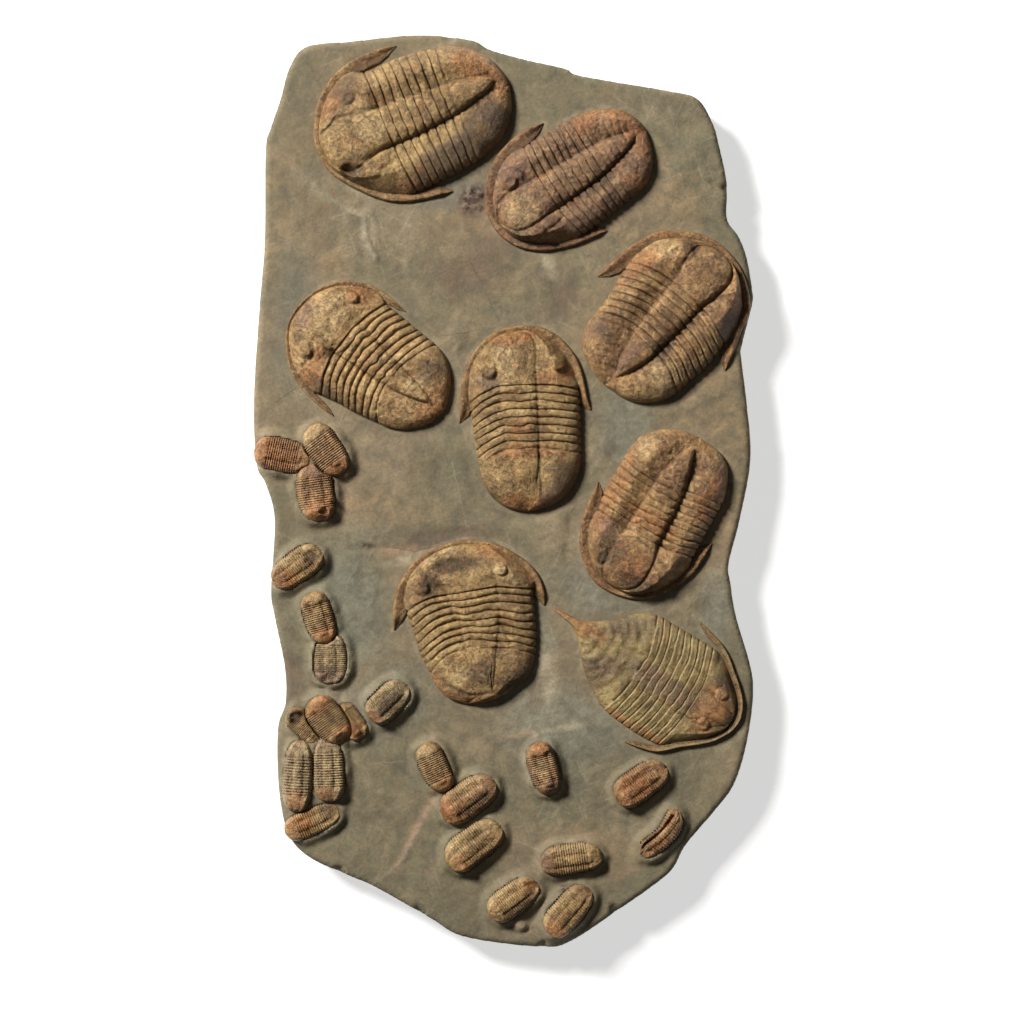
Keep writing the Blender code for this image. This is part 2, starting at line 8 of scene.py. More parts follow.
import bmesh
import bpy
import numpy as np
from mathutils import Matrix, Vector


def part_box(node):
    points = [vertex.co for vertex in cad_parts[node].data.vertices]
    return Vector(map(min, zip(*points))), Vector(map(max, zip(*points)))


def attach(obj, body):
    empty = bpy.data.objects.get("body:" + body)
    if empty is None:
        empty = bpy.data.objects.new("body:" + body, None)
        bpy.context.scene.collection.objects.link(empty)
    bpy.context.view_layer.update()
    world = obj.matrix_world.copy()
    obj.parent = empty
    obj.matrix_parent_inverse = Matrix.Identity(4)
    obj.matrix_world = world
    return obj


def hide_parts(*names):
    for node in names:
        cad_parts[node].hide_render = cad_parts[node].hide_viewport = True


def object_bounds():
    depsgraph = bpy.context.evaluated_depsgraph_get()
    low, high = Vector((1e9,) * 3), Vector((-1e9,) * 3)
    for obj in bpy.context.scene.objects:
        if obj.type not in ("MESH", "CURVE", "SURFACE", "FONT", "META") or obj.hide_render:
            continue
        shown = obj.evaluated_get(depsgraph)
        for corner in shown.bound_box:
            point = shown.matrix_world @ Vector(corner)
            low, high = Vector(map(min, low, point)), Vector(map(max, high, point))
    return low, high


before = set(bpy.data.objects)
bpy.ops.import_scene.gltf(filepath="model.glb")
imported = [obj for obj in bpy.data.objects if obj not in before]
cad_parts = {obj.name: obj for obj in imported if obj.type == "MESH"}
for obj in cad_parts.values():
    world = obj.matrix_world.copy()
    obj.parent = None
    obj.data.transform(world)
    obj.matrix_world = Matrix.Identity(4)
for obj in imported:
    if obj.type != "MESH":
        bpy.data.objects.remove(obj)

CAD_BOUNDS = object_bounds()

MM = 0.001
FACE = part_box("matrix_slab")[1].z / MM             # height of the slab's face
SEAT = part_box("small_trilobite_02")[0].z / MM      # height on which the fossils lie
BURIED = 6.0                 # how far the fossils' sides reach down into the slab
TOP = CAD_BOUNDS[1][2] / MM  # the plate's highest point
EASED = 3.0                  # over what height the highest places are eased down to stay below it

CREST_LEVEL = 0.86           # height of the ribs' highest part, half way out, as a share of the lobe's
TAIL_LEVEL = 0.94            # the same for the middle lobe where the tail shield starts
SMALL_AXIS = 0.33            # the middle lobe's half width, as a share of the body's
SMALL_BLUNTNESS = 3.4        # exponent of the outline: 2 would be an ellipse
SMALL_TAPER = 0.10           # how much narrower the tail is than the head

# The slab's outline, clockwise from the top of its left side.
SLAB_OUTLINE = [
    (-257, 398), (-246, 430), (-237, 463), (-224, 485), (-206, 492), (-169, 495), (-114, 501), (-81, 502),
    (-34, 496), (-15, 486), (24, 475), (68, 465), (86, 457), (178, 441), (213, 432), (230, 405),
    (238, 377), (246, 337), (246, 300), (259, 280), (268, 256), (274, 221), (274, 206), (263, 162),
    (262, 146), (268, 96), (272, 34), (260, -32), (248, -80), (250, -102), (256, -138), (272, -193),
    (275, -226), (268, -276), (254, -322), (233, -351), (201, -389), (186, -416), (161, -437), (125, -462),
    (75, -495), (42, -502), (-42, -491), (-81, -470), (-141, -436), (-169, -424), (-211, -405), (-235, -382),
    (-245, -346), (-249, -301), (-248, -258), (-240, -232), (-241, -193), (-252, -138), (-256, -109),
    (-252, -32), (-262, 8), (-272, 30), (-275, 100), (-269, 199), (-263, 276), (-262, 375),
]

# Rails run from the nose to the tail: points beside the head, the thorax and the tail shield.
# The rim is a line too, from the tip of one cheek spine to the other. Eyes: x, y, radius.
LARGE = {
    "large_trilobite_1": {
        "centre": (-97, 408), "heading": -160, "height": 24, "nose": (0, 108), "tail": (0, -111),
        "left_edge": [[(-20, 104), (-34, 95), (-49, 81), (-62, 66), (-71, 52), (-76, 38)],
            [(-76, 25), (-74, 0), (-72, -20), (-66, -50)], [(-62, -60), (-54, -80), (-40, -95), (-22, -105)]],
        "left_furrow": [[(-17, 101), (-29, 88), (-30, 75), (-22, 52)], [(-20, 32), (-18, 0), (-11, -48)],
            [(-6, -65), (0, -84), (7, -97)]],
        "right_furrow": [[(17, 103), (23, 91), (28, 76), (27, 52)], [(25, 34), (25, 0), (24, -46)],
            [(22, -65), (18, -88), (11, -98)]],
        "right_edge": [[(18, 106), (34, 100), (48, 92), (62, 80), (73, 64), (76, 50)],
            [(69, 35), (71, 0), (70, -20), (67, -48)],
            [(64, -62), (57, -77), (47, -90), (35, -100), (15, -108)]],
        "eyes": [(-36, 62, 9), (46, 62, 7)],
        "rim": [(-88, -12), (-88, 0), (-86, 20), (-82, 40), (-76, 55), (-66, 70), (-52, 85), (-36, 99),
            (-20, 109), (0, 113), (18, 112), (35, 106), (50, 98), (65, 85), (77, 68), (84, 50), (87, 30),
            (87, 5), (84, -8)],
    },
    "large_trilobite_2": {
        "centre": (74, 341), "heading": -146.5, "height": 22, "nose": (5, 92), "tail": (0, -100),
        "left_edge": [[(-9, 90), (-21, 86), (-31, 77), (-42, 64), (-51, 50), (-56, 36)],
            [(-57, 22), (-57, 0), (-55, -20), (-53, -44)], [(-52, -56), (-48, -70), (-38, -83), (-22, -93)]],
        "left_furrow": [[(-13, 82), (-19, 68), (-19, 48)], [(-18, 29), (-17, -20), (-14, -42)],
            [(-10, -60), (-5, -76), (2, -90)]],
        "right_furrow": [[(20, 82), (25, 68), (24, 48)], [(22, 29), (21, 0), (18, -42)],
            [(15, -60), (11, -75), (6, -90)]],
        "right_edge": [[(19, 89), (31, 83), (43, 73), (54, 61), (61, 48), (63, 36)],
            [(60, 22), (60, 0), (59, -20), (57, -42)], [(54, -55), (48, -70), (38, -86), (20, -97)]],
        "eyes": [(-27, 60, 6), (35, 58, 8)],
        "rim": [(-68, -3), (-66, 15), (-62, 35), (-55, 55), (-47, 70), (-35, 84), (-22, 93), (-8, 98),
            (5, 99), (20, 97), (33, 91), (47, 81), (58, 70), (66, 57), (72, 40), (75, 20), (74, 5),
            (70, -10)],
    },
    "large_trilobite_3": {
        "centre": (179, 192), "heading": 48, "height": 24, "nose": (0, 92), "tail": (0, -102),
        "left_edge": [[(-15, 91), (-28, 87), (-42, 78), (-54, 69), (-65, 56), (-71, 40)],
            [(-70, 18), (-68, 0), (-62, -28), (-60, -57)], [(-58, -68), (-50, -84), (-32, -96), (-12, -101)]],
        "left_furrow": [[(-14, 88), (-25, 78), (-26, 60), (-21, 44)], [(-20, 32), (-19, 0), (-14, -38)],
            [(-11, -52), (-7, -70), (1, -84)]],
        "right_furrow": [[(16, 88), (26, 76), (27, 60), (25, 44)], [(23, 32), (22, 0), (20, -38)],
            [(18, -52), (13, -70), (6, -84)]],
        "right_edge": [[(19, 90), (33, 84), (45, 75), (57, 64), (65, 50), (69, 34)],
            [(68, 20), (70, -10), (68, -30), (65, -54)], [(61, -67), (54, -78), (42, -90), (26, -98)]],
        "eyes": [(-31, 66, 8), (38, 62, 6)],
        "rim": [(-86, -18), (-85, 0), (-82, 25), (-77, 45), (-70, 62), (-58, 75), (-45, 85), (-30, 94),
            (-15, 98), (0, 99), (20, 96), (35, 90), (48, 82), (60, 72), (68, 60), (72, 45), (78, 30),
            (85, 10), (88, -1)],
    },
    "large_trilobite_4": {
        "centre": (-148, 152), "heading": 138, "height": 20, "rim_width": 0.45, "nose": (-10, 89),
        "tail": (5, -105),
        "left_edge": [[(-22, 88), (-35, 85), (-47, 77), (-58, 66), (-67, 53), (-73, 38), (-75, 22)],
            [(-70, 8), (-63, -15), (-60, -30), (-51, -58)],
            [(-48, -68), (-40, -82), (-28, -93), (-12, -102)]],
        "left_furrow": [[(-26, 82), (-33, 68), (-30, 46)], [(-26, 28), (-21, 0), (-18, -20), (-15, -38)],
            [(-11, -55), (-5, -72), (2, -88)]],
        "right_furrow": [[(6, 82), (18, 68), (19, 48)], [(17, 30), (15, 0), (13, -38)],
            [(12, -55), (10, -72), (7, -88)]],
        "right_edge": [[(8, 87), (23, 81), (36, 72), (46, 60), (54, 47), (56, 34)],
            [(53, 21), (54, 0), (55, -30), (56, -48)], [(54, -62), (47, -77), (35, -90), (20, -100)]],
        "eyes": [(-44, 53, 8), (33, 52, 6)],
        "rim": [(-78, -18), (-80, 0), (-80, 20), (-77, 38), (-70, 55), (-60, 68), (-48, 80), (-35, 88),
            (-20, 92), (-5, 92), (10, 90), (25, 84), (38, 75), (49, 62), (56, 50), (60, 35), (61, 20),
            (61, 0)],
    },
    "large_trilobite_5": {
        "centre": (24, 78), "heading": 92.5, "height": 22, "nose": (0, 99), "tail": (-2, -101),
        "left_edge": [[(-20, 96), (-33, 90), (-46, 79), (-56, 66), (-62, 50), (-63, 36)],
            [(-61, 21), (-58, -5), (-57, -20), (-53, -48)], [(-50, -63), (-44, -78), (-33, -90), (-20, -97)]],
        "left_furrow": [[(-18, 92), (-27, 80), (-29, 60)], [(-27, 38), (-24, 0), (-20, -32)],
            [(-16, -50), (-10, -70), (-4, -85)]],
        "right_furrow": [[(11, 92), (15, 76), (14, 56)], [(14, 38), (14, 0), (14, -32)],
            [(12, -55), (8, -73), (2, -85)]],
        "right_edge": [[(18, 96), (33, 87), (44, 76), (53, 64), (59, 48)],
            [(61, 31), (61, 0), (60, -20), (60, -40)], [(57, -58), (50, -74), (40, -86), (22, -96)]],
        "eyes": [(-38, 56, 8), (39, 60, 8)],
        "rim": [(-73, 0), (-71, 20), (-69, 40), (-64, 58), (-55, 75), (-42, 90), (-25, 100), (-5, 104),
            (10, 104), (25, 100), (40, 91), (52, 78), (60, 65), (65, 50), (68, 35), (70, 20), (73, 8)],
    },
    "large_trilobite_6": {
        "centre": (167, -24), "heading": -118.5, "height": 24, "nose": (0, 94), "tail": (-3, -96),
        "left_edge": [[(-17, 92), (-31, 86), (-43, 75), (-52, 63), (-60, 48), (-62, 36)],
            [(-60, 24), (-60, 0), (-60, -42)], [(-58, -55), (-52, -72), (-43, -85), (-28, -93)]],
        "left_furrow": [[(-14, 88), (-23, 76), (-24, 50)], [(-20, 30), (-19, -10), (-17, -38)],
            [(-13, -55), (-8, -72), (-4, -84)]],
        "right_furrow": [[(16, 88), (24, 75), (24, 50)], [(21, 30), (18, -10), (16, -38)],
            [(11, -58), (6, -74), (0, -84)]],
        "right_edge": [[(18, 92), (31, 86), (42, 76), (51, 65), (58, 52), (60, 40)],
            [(58, 27), (61, 0), (60, -30), (59, -44)], [(55, -65), (47, -76), (35, -86), (17, -94)]],
        "eyes": [(-33, 65, 6), (30, 70, 7)],
        "rim": [(-71, 0), (-71, 20), (-69, 38), (-64, 52), (-57, 65), (-48, 77), (-37, 88), (-22, 96),
            (-5, 100), (10, 101), (22, 99), (35, 93), (47, 82), (57, 70), (64, 55), (69, 38), (71, 20),
            (72, 0)],
    },
    "large_trilobite_7": {
        "centre": (-36, -146), "heading": 86.5, "height": 20, "nose": (0, 88), "tail": (0, -88),
        "left_edge": [[(-15, 87), (-31, 82), (-46, 75), (-58, 66), (-68, 55), (-75, 42), (-78, 26)],
            [(-72, 10), (-60, -20), (-53, -38), (-41, -58)], [(-37, -66), (-30, -75), (-18, -84)]],
        "left_furrow": [[(-22, 82), (-32, 66), (-32, 46)], [(-28, 31), (-20, 10), (-10, -5), (-5, -26)],
            [(2, -42), (11, -60), (19, -72)]],
        "right_furrow": [[(13, 83), (20, 67), (22, 54)], [(26, 43), (31, 15), (32, 0), (30, -24)],
            [(30, -42), (29, -58), (26, -72)]],
        "right_edge": [[(15, 88), (30, 84), (42, 78), (54, 70), (64, 60), (70, 51)],
            [(67, 42), (71, 10), (73, -10), (73, -30)],
            [(71, -44), (67, -54), (57, -63), (43, -75), (28, -83), (14, -87)]],
        "eyes": [(-56, 37, 8), (30, 62, 6)],
        "rim": [(-84, -12), (-86, 0), (-86, 18), (-83, 35), (-77, 48), (-70, 60), (-60, 70), (-47, 79),
            (-32, 86), (-15, 91), (0, 92), (15, 91), (30, 87), (43, 81), (55, 74), (65, 66), (72, 57),
            (77, 47), (80, 35), (80, 25)],
    },
    "spine_tailed_trilobite": {
        "centre": (169, -208), "heading": -32, "height": 12, "rim_width": 0.42, "nose": (-6, 94),
        "tail": (-6, -143),
        "left_edge": [[(-18, 91), (-29, 84), (-41, 72), (-52, 58), (-60, 45)],
            [(-63, 33), (-62, -10), (-61, -38)],
            [(-52, -55), (-40, -68), (-28, -80), (-18, -93), (-11, -107), (-9, -128)]],
        "left_furrow": [[(-15, 84), (-20, 68)], [(-19, 46), (-18, 0), (-16, -24)],
            [(-12, -50), (-8, -75), (-7, -100)]],
        "right_furrow": [[(5, 86), (15, 70)], [(18, 45), (18, 0), (16, -24)],
            [(10, -50), (3, -75), (-3, -100)]],
        "right_edge": [[(8, 92), (18, 86), (28, 78), (38, 66), (48, 55), (56, 46)],
            [(60, 37), (62, 5), (58, -33)],
            [(45, -58), (34, -73), (21, -86), (8, -98), (-1, -110), (-4, -128)]],
        "eyes": [(-25, 68, 6), (14, 68, 6)],
        "rim": [(-80, 5), (-76, 22), (-72, 38), (-65, 52), (-55, 65), (-43, 80), (-32, 91), (-20, 98),
            (-8, 101), (5, 99), (17, 93), (28, 85), (40, 72), (50, 60), (60, 50), (68, 40), (73, 25),
            (77, 5)],
    },
}

# Small ones, by number: centre, heading, half width to the left and right, front and back of the
# body, height, and the numbers of those that lie over it.
SMALL = [
    ((-250, 40), 168, 20, 22, 25, -40, 12, [2, 3]),
    ((-193, 45), 125.5, 22, 19, 33, -32, 16, []),
    ((-203, -3), 98, 26, 20, 34, -32, 15, [2]),
    ((-225, -84), 35, 21, 18, 32, -34, 13, []),
    ((-201, -140), 106, 20, 17, 31, -29, 15, []),
    ((-190, -188), -90, 21, 21, 25, -32, 12, [5]),
    ((-124, -230), -136.5, 19, 21, 31, -26, 15, []),
    ((-221, -255), 135, 16, 15, 21, -28, 10, [9]),
    ((-191, -252), 126, 22, 20, 31, -30, 16, []),
    ((-168, -254), -55.5, 17, 14, 23, -24, 12, [9]),
    ((-225, -316), -93.5, 17, 19, 38, -44, 15, []),
    ((-192, -311), -88, 20, 19, 32, -42, 15, [11]),
    ((-212, -364), -156.5, 17, 17, 31, -36, 11, [11, 12]),
    ((-73, -304), 114.5, 20, 16, 31, -28, 15, []),
    ((-37, -339), -144.5, 20, 24, 36, -35, 16, [14]),
    ((-30, -390), -142.5, 19, 25, 38, -36, 15, [15]),
    ((46, -304), 105.5, 20, 16, 30, -31, 16, []),
    ((76, -406), -172, 16, 21, 36, -34, 15, []),
    ((12, -449), -144.5, 18, 21, 33, -32, 15, []),
    ((74, -461), -131, 17, 22, 36, -33, 15, []),
    ((152, -322), -145, 19, 22, 34, -34, 16, []),
]

# The broken one is half a shell standing on edge, a curved ridge with its hollow side to the left.
BROKEN = {
    "centre": (173, -378), "heading": 57, "height": 13, "nose": (-2, 34), "tail": (-4, -33),
    "left_edge": [[(-8, 30)], [(-9, 24), (-8, 5), (-13, -10), (-15, -19)], [(-11, -28)]],
    "left_furrow": [[(-1, 30)], [(0, 25), (-2, 5), (-6, -10), (-9, -19)], [(-8, -28)]],
    "right_furrow": [[(4, 30)], [(7, 24), (6, 5), (2, -10), (-2, -19)], [(-3, -28)]],
    "right_edge": [[(7, 32)], [(15, 21), (17, 8), (14, -6), (10, -19)], [(4, -29)]],
}

# How the two kinds look: lengths in mm, levels and shares from 0 to 1, pairs for left and right.
# The value before cheek is the strength of the painted shade in the grooves and furrows.
LARGE_LOOK = {
    "segments": 8, "per_segment": 12, "head_rows": 58, "tail_rows": 46, "columns": (42, 38), "groove": 0.35,
    "groove_width": 0.8, "rounding": 2.3, "round": 1.8, "pleural": 1.5, "furrows": (1.4, 1.4), "ridge": 0.4,
    "furrow_width": 1.7, "heads": (0.84, 0.84), "cracks": (0.4, 0.4), "rough": 0.62, "rings": 0.25,
    "brim": 2.4, "axis_end": 2.74, "eye": 3.0, "uneven": 0.13, "levels": (0.66, 0.66), "saw": 0.8,
    "grime": 0.34, "cheek": 1.0,
}
SMALL_LOOK = {
    "segments": 13, "per_segment": 6, "head_rows": 20, "tail_rows": 15, "columns": (16, 15), "groove": 0.15,
    "groove_width": 0.6, "rounding": 1.3, "round": 2.0, "pleural": 0.0, "furrows": (0.25, 0.25),
    "ridge": 0.0, "furrow_width": 1.5, "heads": (0.97, 0.97), "cracks": (0.1, 0.1), "rough": 0.62,
    "rings": 0.0, "brim": 0.0, "axis_end": 2.25, "eye": 1.2, "uneven": 0.07, "levels": (0.87, 0.87),
    "saw": 0.1, "grime": 0.5, "cheek": 0.0,
}

# What each trilobite has of its own, in its own frame. Bumps and dents: x, y, two radii, a turn if
# any, height. Lines: points, depth, width. Patches of colour: kind, x, y, two radii, a turn if any.
OWN_LOOK = {
    "large_trilobite_1": {
        "cracks": (1.8, 0.9), "heads": (0.72, 0.92), "pleural": 1.3, "rounding": 2.8, "grime": 0.6,
        "groove": 0.55,
        "bumps": [(-31, 55, 9, 24, 8, 4.5), (-30, 88, 10, 9, -5.0), (2, 70, 24, 40, 2.5),
            (45, 68, 26, 26, -1.5), (5, -70, 17, 30, -4, 2.0)],
        "lines": [([(26, 36), (25, 58), (30, 80), (20, 100)], 1.2, 1.3)],
        "patches": [("dark", -32, 84, 13, 12), ("dark", -54, -16, 16, 44, 6),
            ("purple", -30, -84, 22, 12, 30), ("dark", -42, -66, 30, 26), ("dark", -30, -84, 26, 14, 20),
            ("rust", 20, -100, 46, 12), ("purple", -48, -40, 14, 20), ("purple", 46, 62, 8, 8),
            ("rust", 48, 84, 22, 14, -40), ("cream", 4, 50, 14, 18), ("dark", 60, 60, 12, 20, 20),
            ("rust", 40, -80, 26, 20, 20), ("rust", -70, 40, 9, 40, 15)],
    },
    "large_trilobite_2": {
        "cracks": (1.4, 1.2), "rings": 0.5, "rough": 0.8, "rounding": 2.8, "grime": 0.6, "groove": 0.55,
        "bumps": [(-26, 44, 7, 20, 6, 3.0), (37, 46, 10, 8, 2.2), (3, 58, 20, 30, 1.5)],
        "lines": [([(10, 90), (20, 78), (26, 60)], 0.9, 1.2)],
        "patches": [("rust", 5, -92, 56, 16), ("rust", 52, -60, 16, 30, 25), ("rust", -46, -66, 14, 26, -25),
            ("rust", 40, -84, 22, 12, -30), ("purple", 36, 50, 14, 14), ("purple", -44, 0, 12, 44),
            ("dark", -20, -20, 8, 30), ("purple", 62, 20, 8, 34), ("cream", 0, 62, 16, 16),
            ("dark", -25, 82, 20, 10, 30)],
    },
    "large_trilobite_3": {
        "cracks": (1.4, 1.8), "heads": (0.78, 0.7), "pleural": 1.9, "rings": 0.5, "rounding": 3.2,
        "groove": 0.9, "grime": 0.95, "rough": 0.75,
        "bumps": [(-31, 56, 8, 20, 6, 2.2), (2, 60, 24, 34, 2.0)],
        "lines": [([(26, 44), (34, 60), (48, 72), (62, 78)], 1.0, 1.4)],
        "patches": [("dark", -32, 74, 14, 8), ("rust", 56, 60, 10, 22, 30), ("dark", 60, 40, 12, 20),
            ("purple", -2, -66, 9, 26), ("dark", -40, -60, 14, 8), ("rust", -60, 20, 9, 26),
            ("dark", 22, -30, 8, 16), ("cream", -50, 56, 14, 12), ("cream", 40, -60, 20, 24, 20)],
    },
    "large_trilobite_4": {
        "heads": (0.9, 0.93), "cracks": (0.0, 0.0), "rough": 0.9, "pleural": 0.6, "groove": 0.3,
        "rounding": 3.4, "uneven": 0.22, "furrows": (1.6, 0.7), "brim": 1.5,
        "bumps": [(-14, 62, 16, 14, 2.0), (6, 44, 14, 10, 1.6), (-40, 66, 12, 9, 30, -1.2),
            (22, 74, 12, 9, 1.4), (-30, 36, 10, 7, 1.5)],
        "lines": [([(-60, 44), (-44, 42), (-37, 52)], 1.4, 1.3),
            ([(-50, 20), (-30, 24), (-10, 20)], 1.0, 1.2)],
        "patches": [("cream", -10, 60, 34, 18), ("rust", -42, 38, 14, 10, 20), ("rust", -60, 28, 12, 16),
            ("purple", -20, 76, 20, 10, 20), ("rust", 44, 50, 16, 20), ("cream", 8, -62, 11, 10),
            ("rust", 0, -92, 36, 12), ("dark", 30, -64, 16, 12), ("dark", -62, 4, 8, 22),
            ("cream", 30, 84, 18, 8, -30)],
    },
    "large_trilobite_5": {
        "heads": (0.92, 0.84), "cracks": (0.0, 0.5), "rough": 0.6, "furrows": (0.25, 0.5),
        "levels": (0.86, 0.84), "axis_end": 2.5, "rings": 0.0, "pleural": 0.8, "groove": 0.3,
        "rounding": 2.8, "uneven": 0.16,
        "bumps": [(-16, 66, 22, 24, 1.6), (-38, 70, 10, 10, -1.0), (-10, -70, 30, 26, 1.4)],
        "lines": [([(-44, 50), (-40, 44), (-32, 44), (-29, 50)], 1.3, 1.2),
            ([(13, -30), (14, -84)], 1.2, 0.9)],
        "patches": [("rust", 34, 46, 26, 9, 8), ("rust", 0, -36, 40, 8), ("purple", -40, 44, 14, 12),
            ("cream", -20, 60, 16, 22), ("rust", -6, 90, 30, 8), ("purple", 30, -84, 20, 14),
            ("dark", -44, -84, 14, 12), ("rust", -10, -92, 40, 10), ("dark", 40, -62, 16, 20, 30),
            ("cream", -4, 4, 10, 8), ("rust", -5, -10, 12, 12)],
    },
    "large_trilobite_6": {
        "cracks": (1.2, 1.0), "pleural": 1.3, "rough": 0.8, "uneven": 0.17, "rings": 0.15, "rounding": 2.8,
        "groove": 0.8, "grime": 0.9,
        "bumps": [(-5, 65, 15, 14, 2.0), (-6, 64, 8, 7, -2.2), (30, 70, 12, 12, -2.5),
            (-2, -64, 14, 26, 2.4)],
        "lines": [([(-14, 38), (6, 34), (20, 40)], 1.2, 1.3)],
        "patches": [("rust", 53, 0, 10, 60), ("rust", -5, 62, 18, 16), ("dark", 26, 62, 20, 20),
            ("rust", -46, -40, 14, 40), ("purple", 36, 40, 14, 12), ("dark", -20, 80, 24, 10),
            ("cream", 46, -60, 12, 18), ("rust", 0, 10, 40, 12)],
    },
    "large_trilobite_7": {
        "heads": (0.95, 0.95), "cracks": (0.0, 0.0), "rough": 0.55, "furrows": (0.6, 0.4),
        "levels": (0.78, 0.86), "pleural": 0.9, "groove": 0.4, "uneven": 0.24, "rings": 0.0,
        "axis_end": 2.55, "rounding": 3.2,
        "bumps": [(-18, 60, 26, 14, -1.6), (-48, 66, 14, 9, 40, 1.5), (12, 58, 12, 10, 1.5),
            (-58, 50, 9, 9, 1.5), (10, -62, 20, 24, -14, 1.5)],
        "lines": [([(-66, 34), (-60, 30), (-52, 32)], 1.2, 1.2), ([(26, -44), (28, -72)], 0.9, 0.8),
            ([(-34, -58), (-22, -70), (4, -78), (36, -74), (60, -56)], 1.5, 2.2)],
        "patches": [("dark", -20, 64, 26, 8, 8), ("cream", -40, 74, 26, 8, 30),
            ("rust", 60, 66, 16, 12, -30), ("cream", 40, 64, 24, 14), ("cream", -14, -62, 14, 12, 30),
            ("rust", 20, -82, 44, 7, 4), ("rust", -36, -66, 14, 10, -40), ("dark", 55, -56, 22, 9, 35),
            ("dark", 14, -52, 12, 20, -16), ("rust", -20, -82, 24, 8, -25), ("rust", 26, 78, 24, 8, -12),
            ("cream", -8, -60, 12, 14), ("dark", -50, 40, 12, 14)],
    },
    "spine_tailed_trilobite": {
        "groove": 0.7, "groove_width": 0.7, "rounding": 0.8, "pleural": 0.7, "furrows": (0.5, 0.5),
        "tail_ribs": 1.3, "heads": (0.9, 0.9), "cracks": (0.5, 0.5), "rough": 0.25, "eye": 2.2, "brim": 0.6,
        "rings": 0.5, "saw": 0.7, "levels": (0.84, 0.84), "crest": 0.9, "axis_end": 2.55,
        "bumps": [(-6, 70, 22, 20, 1.6)],
        "lines": [([(-12, 90), (-14, 70), (-22, 52)], 0.6, 1.0), ([(4, 90), (6, 70), (16, 52)], 0.6, 1.0)],
        "patches": [("rust", -4, 66, 30, 22), ("purple", 0, 10, 14, 50), ("purple", 14, -56, 14, 16, 20),
            ("rust", -8, -110, 16, 30), ("rust", 58, 20, 7, 60), ("dark", -40, 66, 12, 12),
            ("dark", -34, -60, 14, 26, 20), ("dark", 30, -66, 12, 22, -25)],
    },
    "small_trilobite_01": {"furrows": (0.48, 0.12), "pleural": 0.2, "patches": [("rust", 0, 0, 24, 26)]},
    "small_trilobite_02": {
        "furrows": (0.06, 0.06), "levels": (0.9, 0.9),
        "patches": [("cream", -6, 22, 16, 12), ("rust", 0, -24, 16, 10)],
    },
    "small_trilobite_03": {
        "rough": 0.5,
        "bumps": [(-2, -18, 16, 10, 4.0), (4, -20, 6, 5, -3.0), (14, -8, 6, 5, 2.5)],
        "patches": [("rust", 0, -18, 18, 14), ("purple", 0, 26, 14, 8)],
    },
    "small_trilobite_04": {
        "furrows": (0.42, 0.3),
        "bumps": [(0, 18, 10, 8, -2.5)],
        # The cream patch on its left flank is a painted highlight on the side towards the light.
        "patches": [("cream", -14, 0, 8, 24), ("dark", 2, 18, 10, 9), ("rust", 2, -20, 14, 12)],
    },
    "small_trilobite_05": {
        "bumps": [(0, 22, 13, 8, 1.5), (0, -22, 13, 8, 2.2)],
        "patches": [("rust", 2, -20, 14, 12)],
    },
    "small_trilobite_06": {
        "bumps": [(0, 16, 10, 7, -2.5)],
        "patches": [("purple", 0, 14, 13, 9), ("cream", -4, -2, 12, 8)],
    },
    "small_trilobite_07": {
        "furrows": (0.48, 0.36),
        # The cream patch on its right flank is a painted highlight on the side towards the light.
        "patches": [("cream", 15, 0, 8, 22), ("dark", 0, 0, 9, 20), ("rust", 0, 24, 12, 7)],
    },
    "small_trilobite_08": {"bumps": [(0, 8, 9, 8, -3.5)], "patches": [("dark", 0, 10, 10, 9)]},
    "small_trilobite_09": {
        "bumps": [(0, -18, 14, 8, 2.5)],
        "patches": [("rust", 0, 20, 16, 9), ("rust", 6, -18, 10, 8)],
    },
    "small_trilobite_10": {"bumps": [(0, 10, 9, 8, 3.0)], "patches": [("rust", 0, 10, 9, 8)]},
    "small_trilobite_11": {
        "furrows": (0.18, 0.25),
        "patches": [("rust", 0, 24, 12, 12), ("dark", 4, 38, 12, 6)],
    },
    "small_trilobite_12": {
        "furrows": (0.24, 0.42),
        "patches": [("rust", 4, 20, 12, 8), ("cream", -12, 0, 8, 24)],
    },
    "small_trilobite_13": {"patches": [("rust", 0, 10, 14, 16), ("dark", 6, -22, 10, 10)]},
    "small_trilobite_14": {
        "levels": (0.92, 0.92), "furrows": (0.06, 0.06),
        "bumps": [(0, -20, 14, 9, 1.5)],
        "patches": [("cream", -8, 20, 12, 10), ("rust", 0, -22, 14, 9)],
    },
    "small_trilobite_15": {
        "furrows": (0.48, 0.25), "rough": 0.7,
        "bumps": [(0, 24, 14, 10, 1.8)],
        # The cream patch is a painted highlight on the flank towards the light, the dark one painted shade on
        # the other side.
        "patches": [("rust", 0, 26, 18, 12), ("dark", -6, -8, 8, 22), ("cream", 14, -4, 8, 20)],
    },
    "small_trilobite_16": {
        "rough": 0.6, "furrows": (0.12, 0.24),
        "bumps": [(-13, 25, 6, 5, 2.5), (2, -6, 12, 16, -2.0)],
        # The cream patch is a painted highlight on the flank towards the light, the dark one painted shade on
        # the other side.
        "patches": [("cream", 14, 0, 12, 34), ("rust", -6, 24, 14, 8), ("dark", -14, 0, 5, 20)],
    },
    "small_trilobite_17": {
        "furrows": (0.12, 0.12),
        "bumps": [(0, 21, 13, 8, 1.4), (-2, -20, 12, 9, 2.0), (-3, 4, 10, 10, -1.5)],
        "patches": [("purple", 2, -22, 11, 8), ("rust", 0, 22, 12, 8), ("cream", -4, 2, 9, 12)],
    },
    "small_trilobite_18": {
        "furrows": (0.48, 0.42),
        # The cream patch on its right flank is a painted highlight on the side towards the light.
        "patches": [("cream", 14, 0, 7, 26), ("purple", 0, 28, 14, 7)],
    },
    "small_trilobite_19": {
        "furrows": (0.48, 0.3),
        "bumps": [(0, -22, 12, 9, -2.0)],
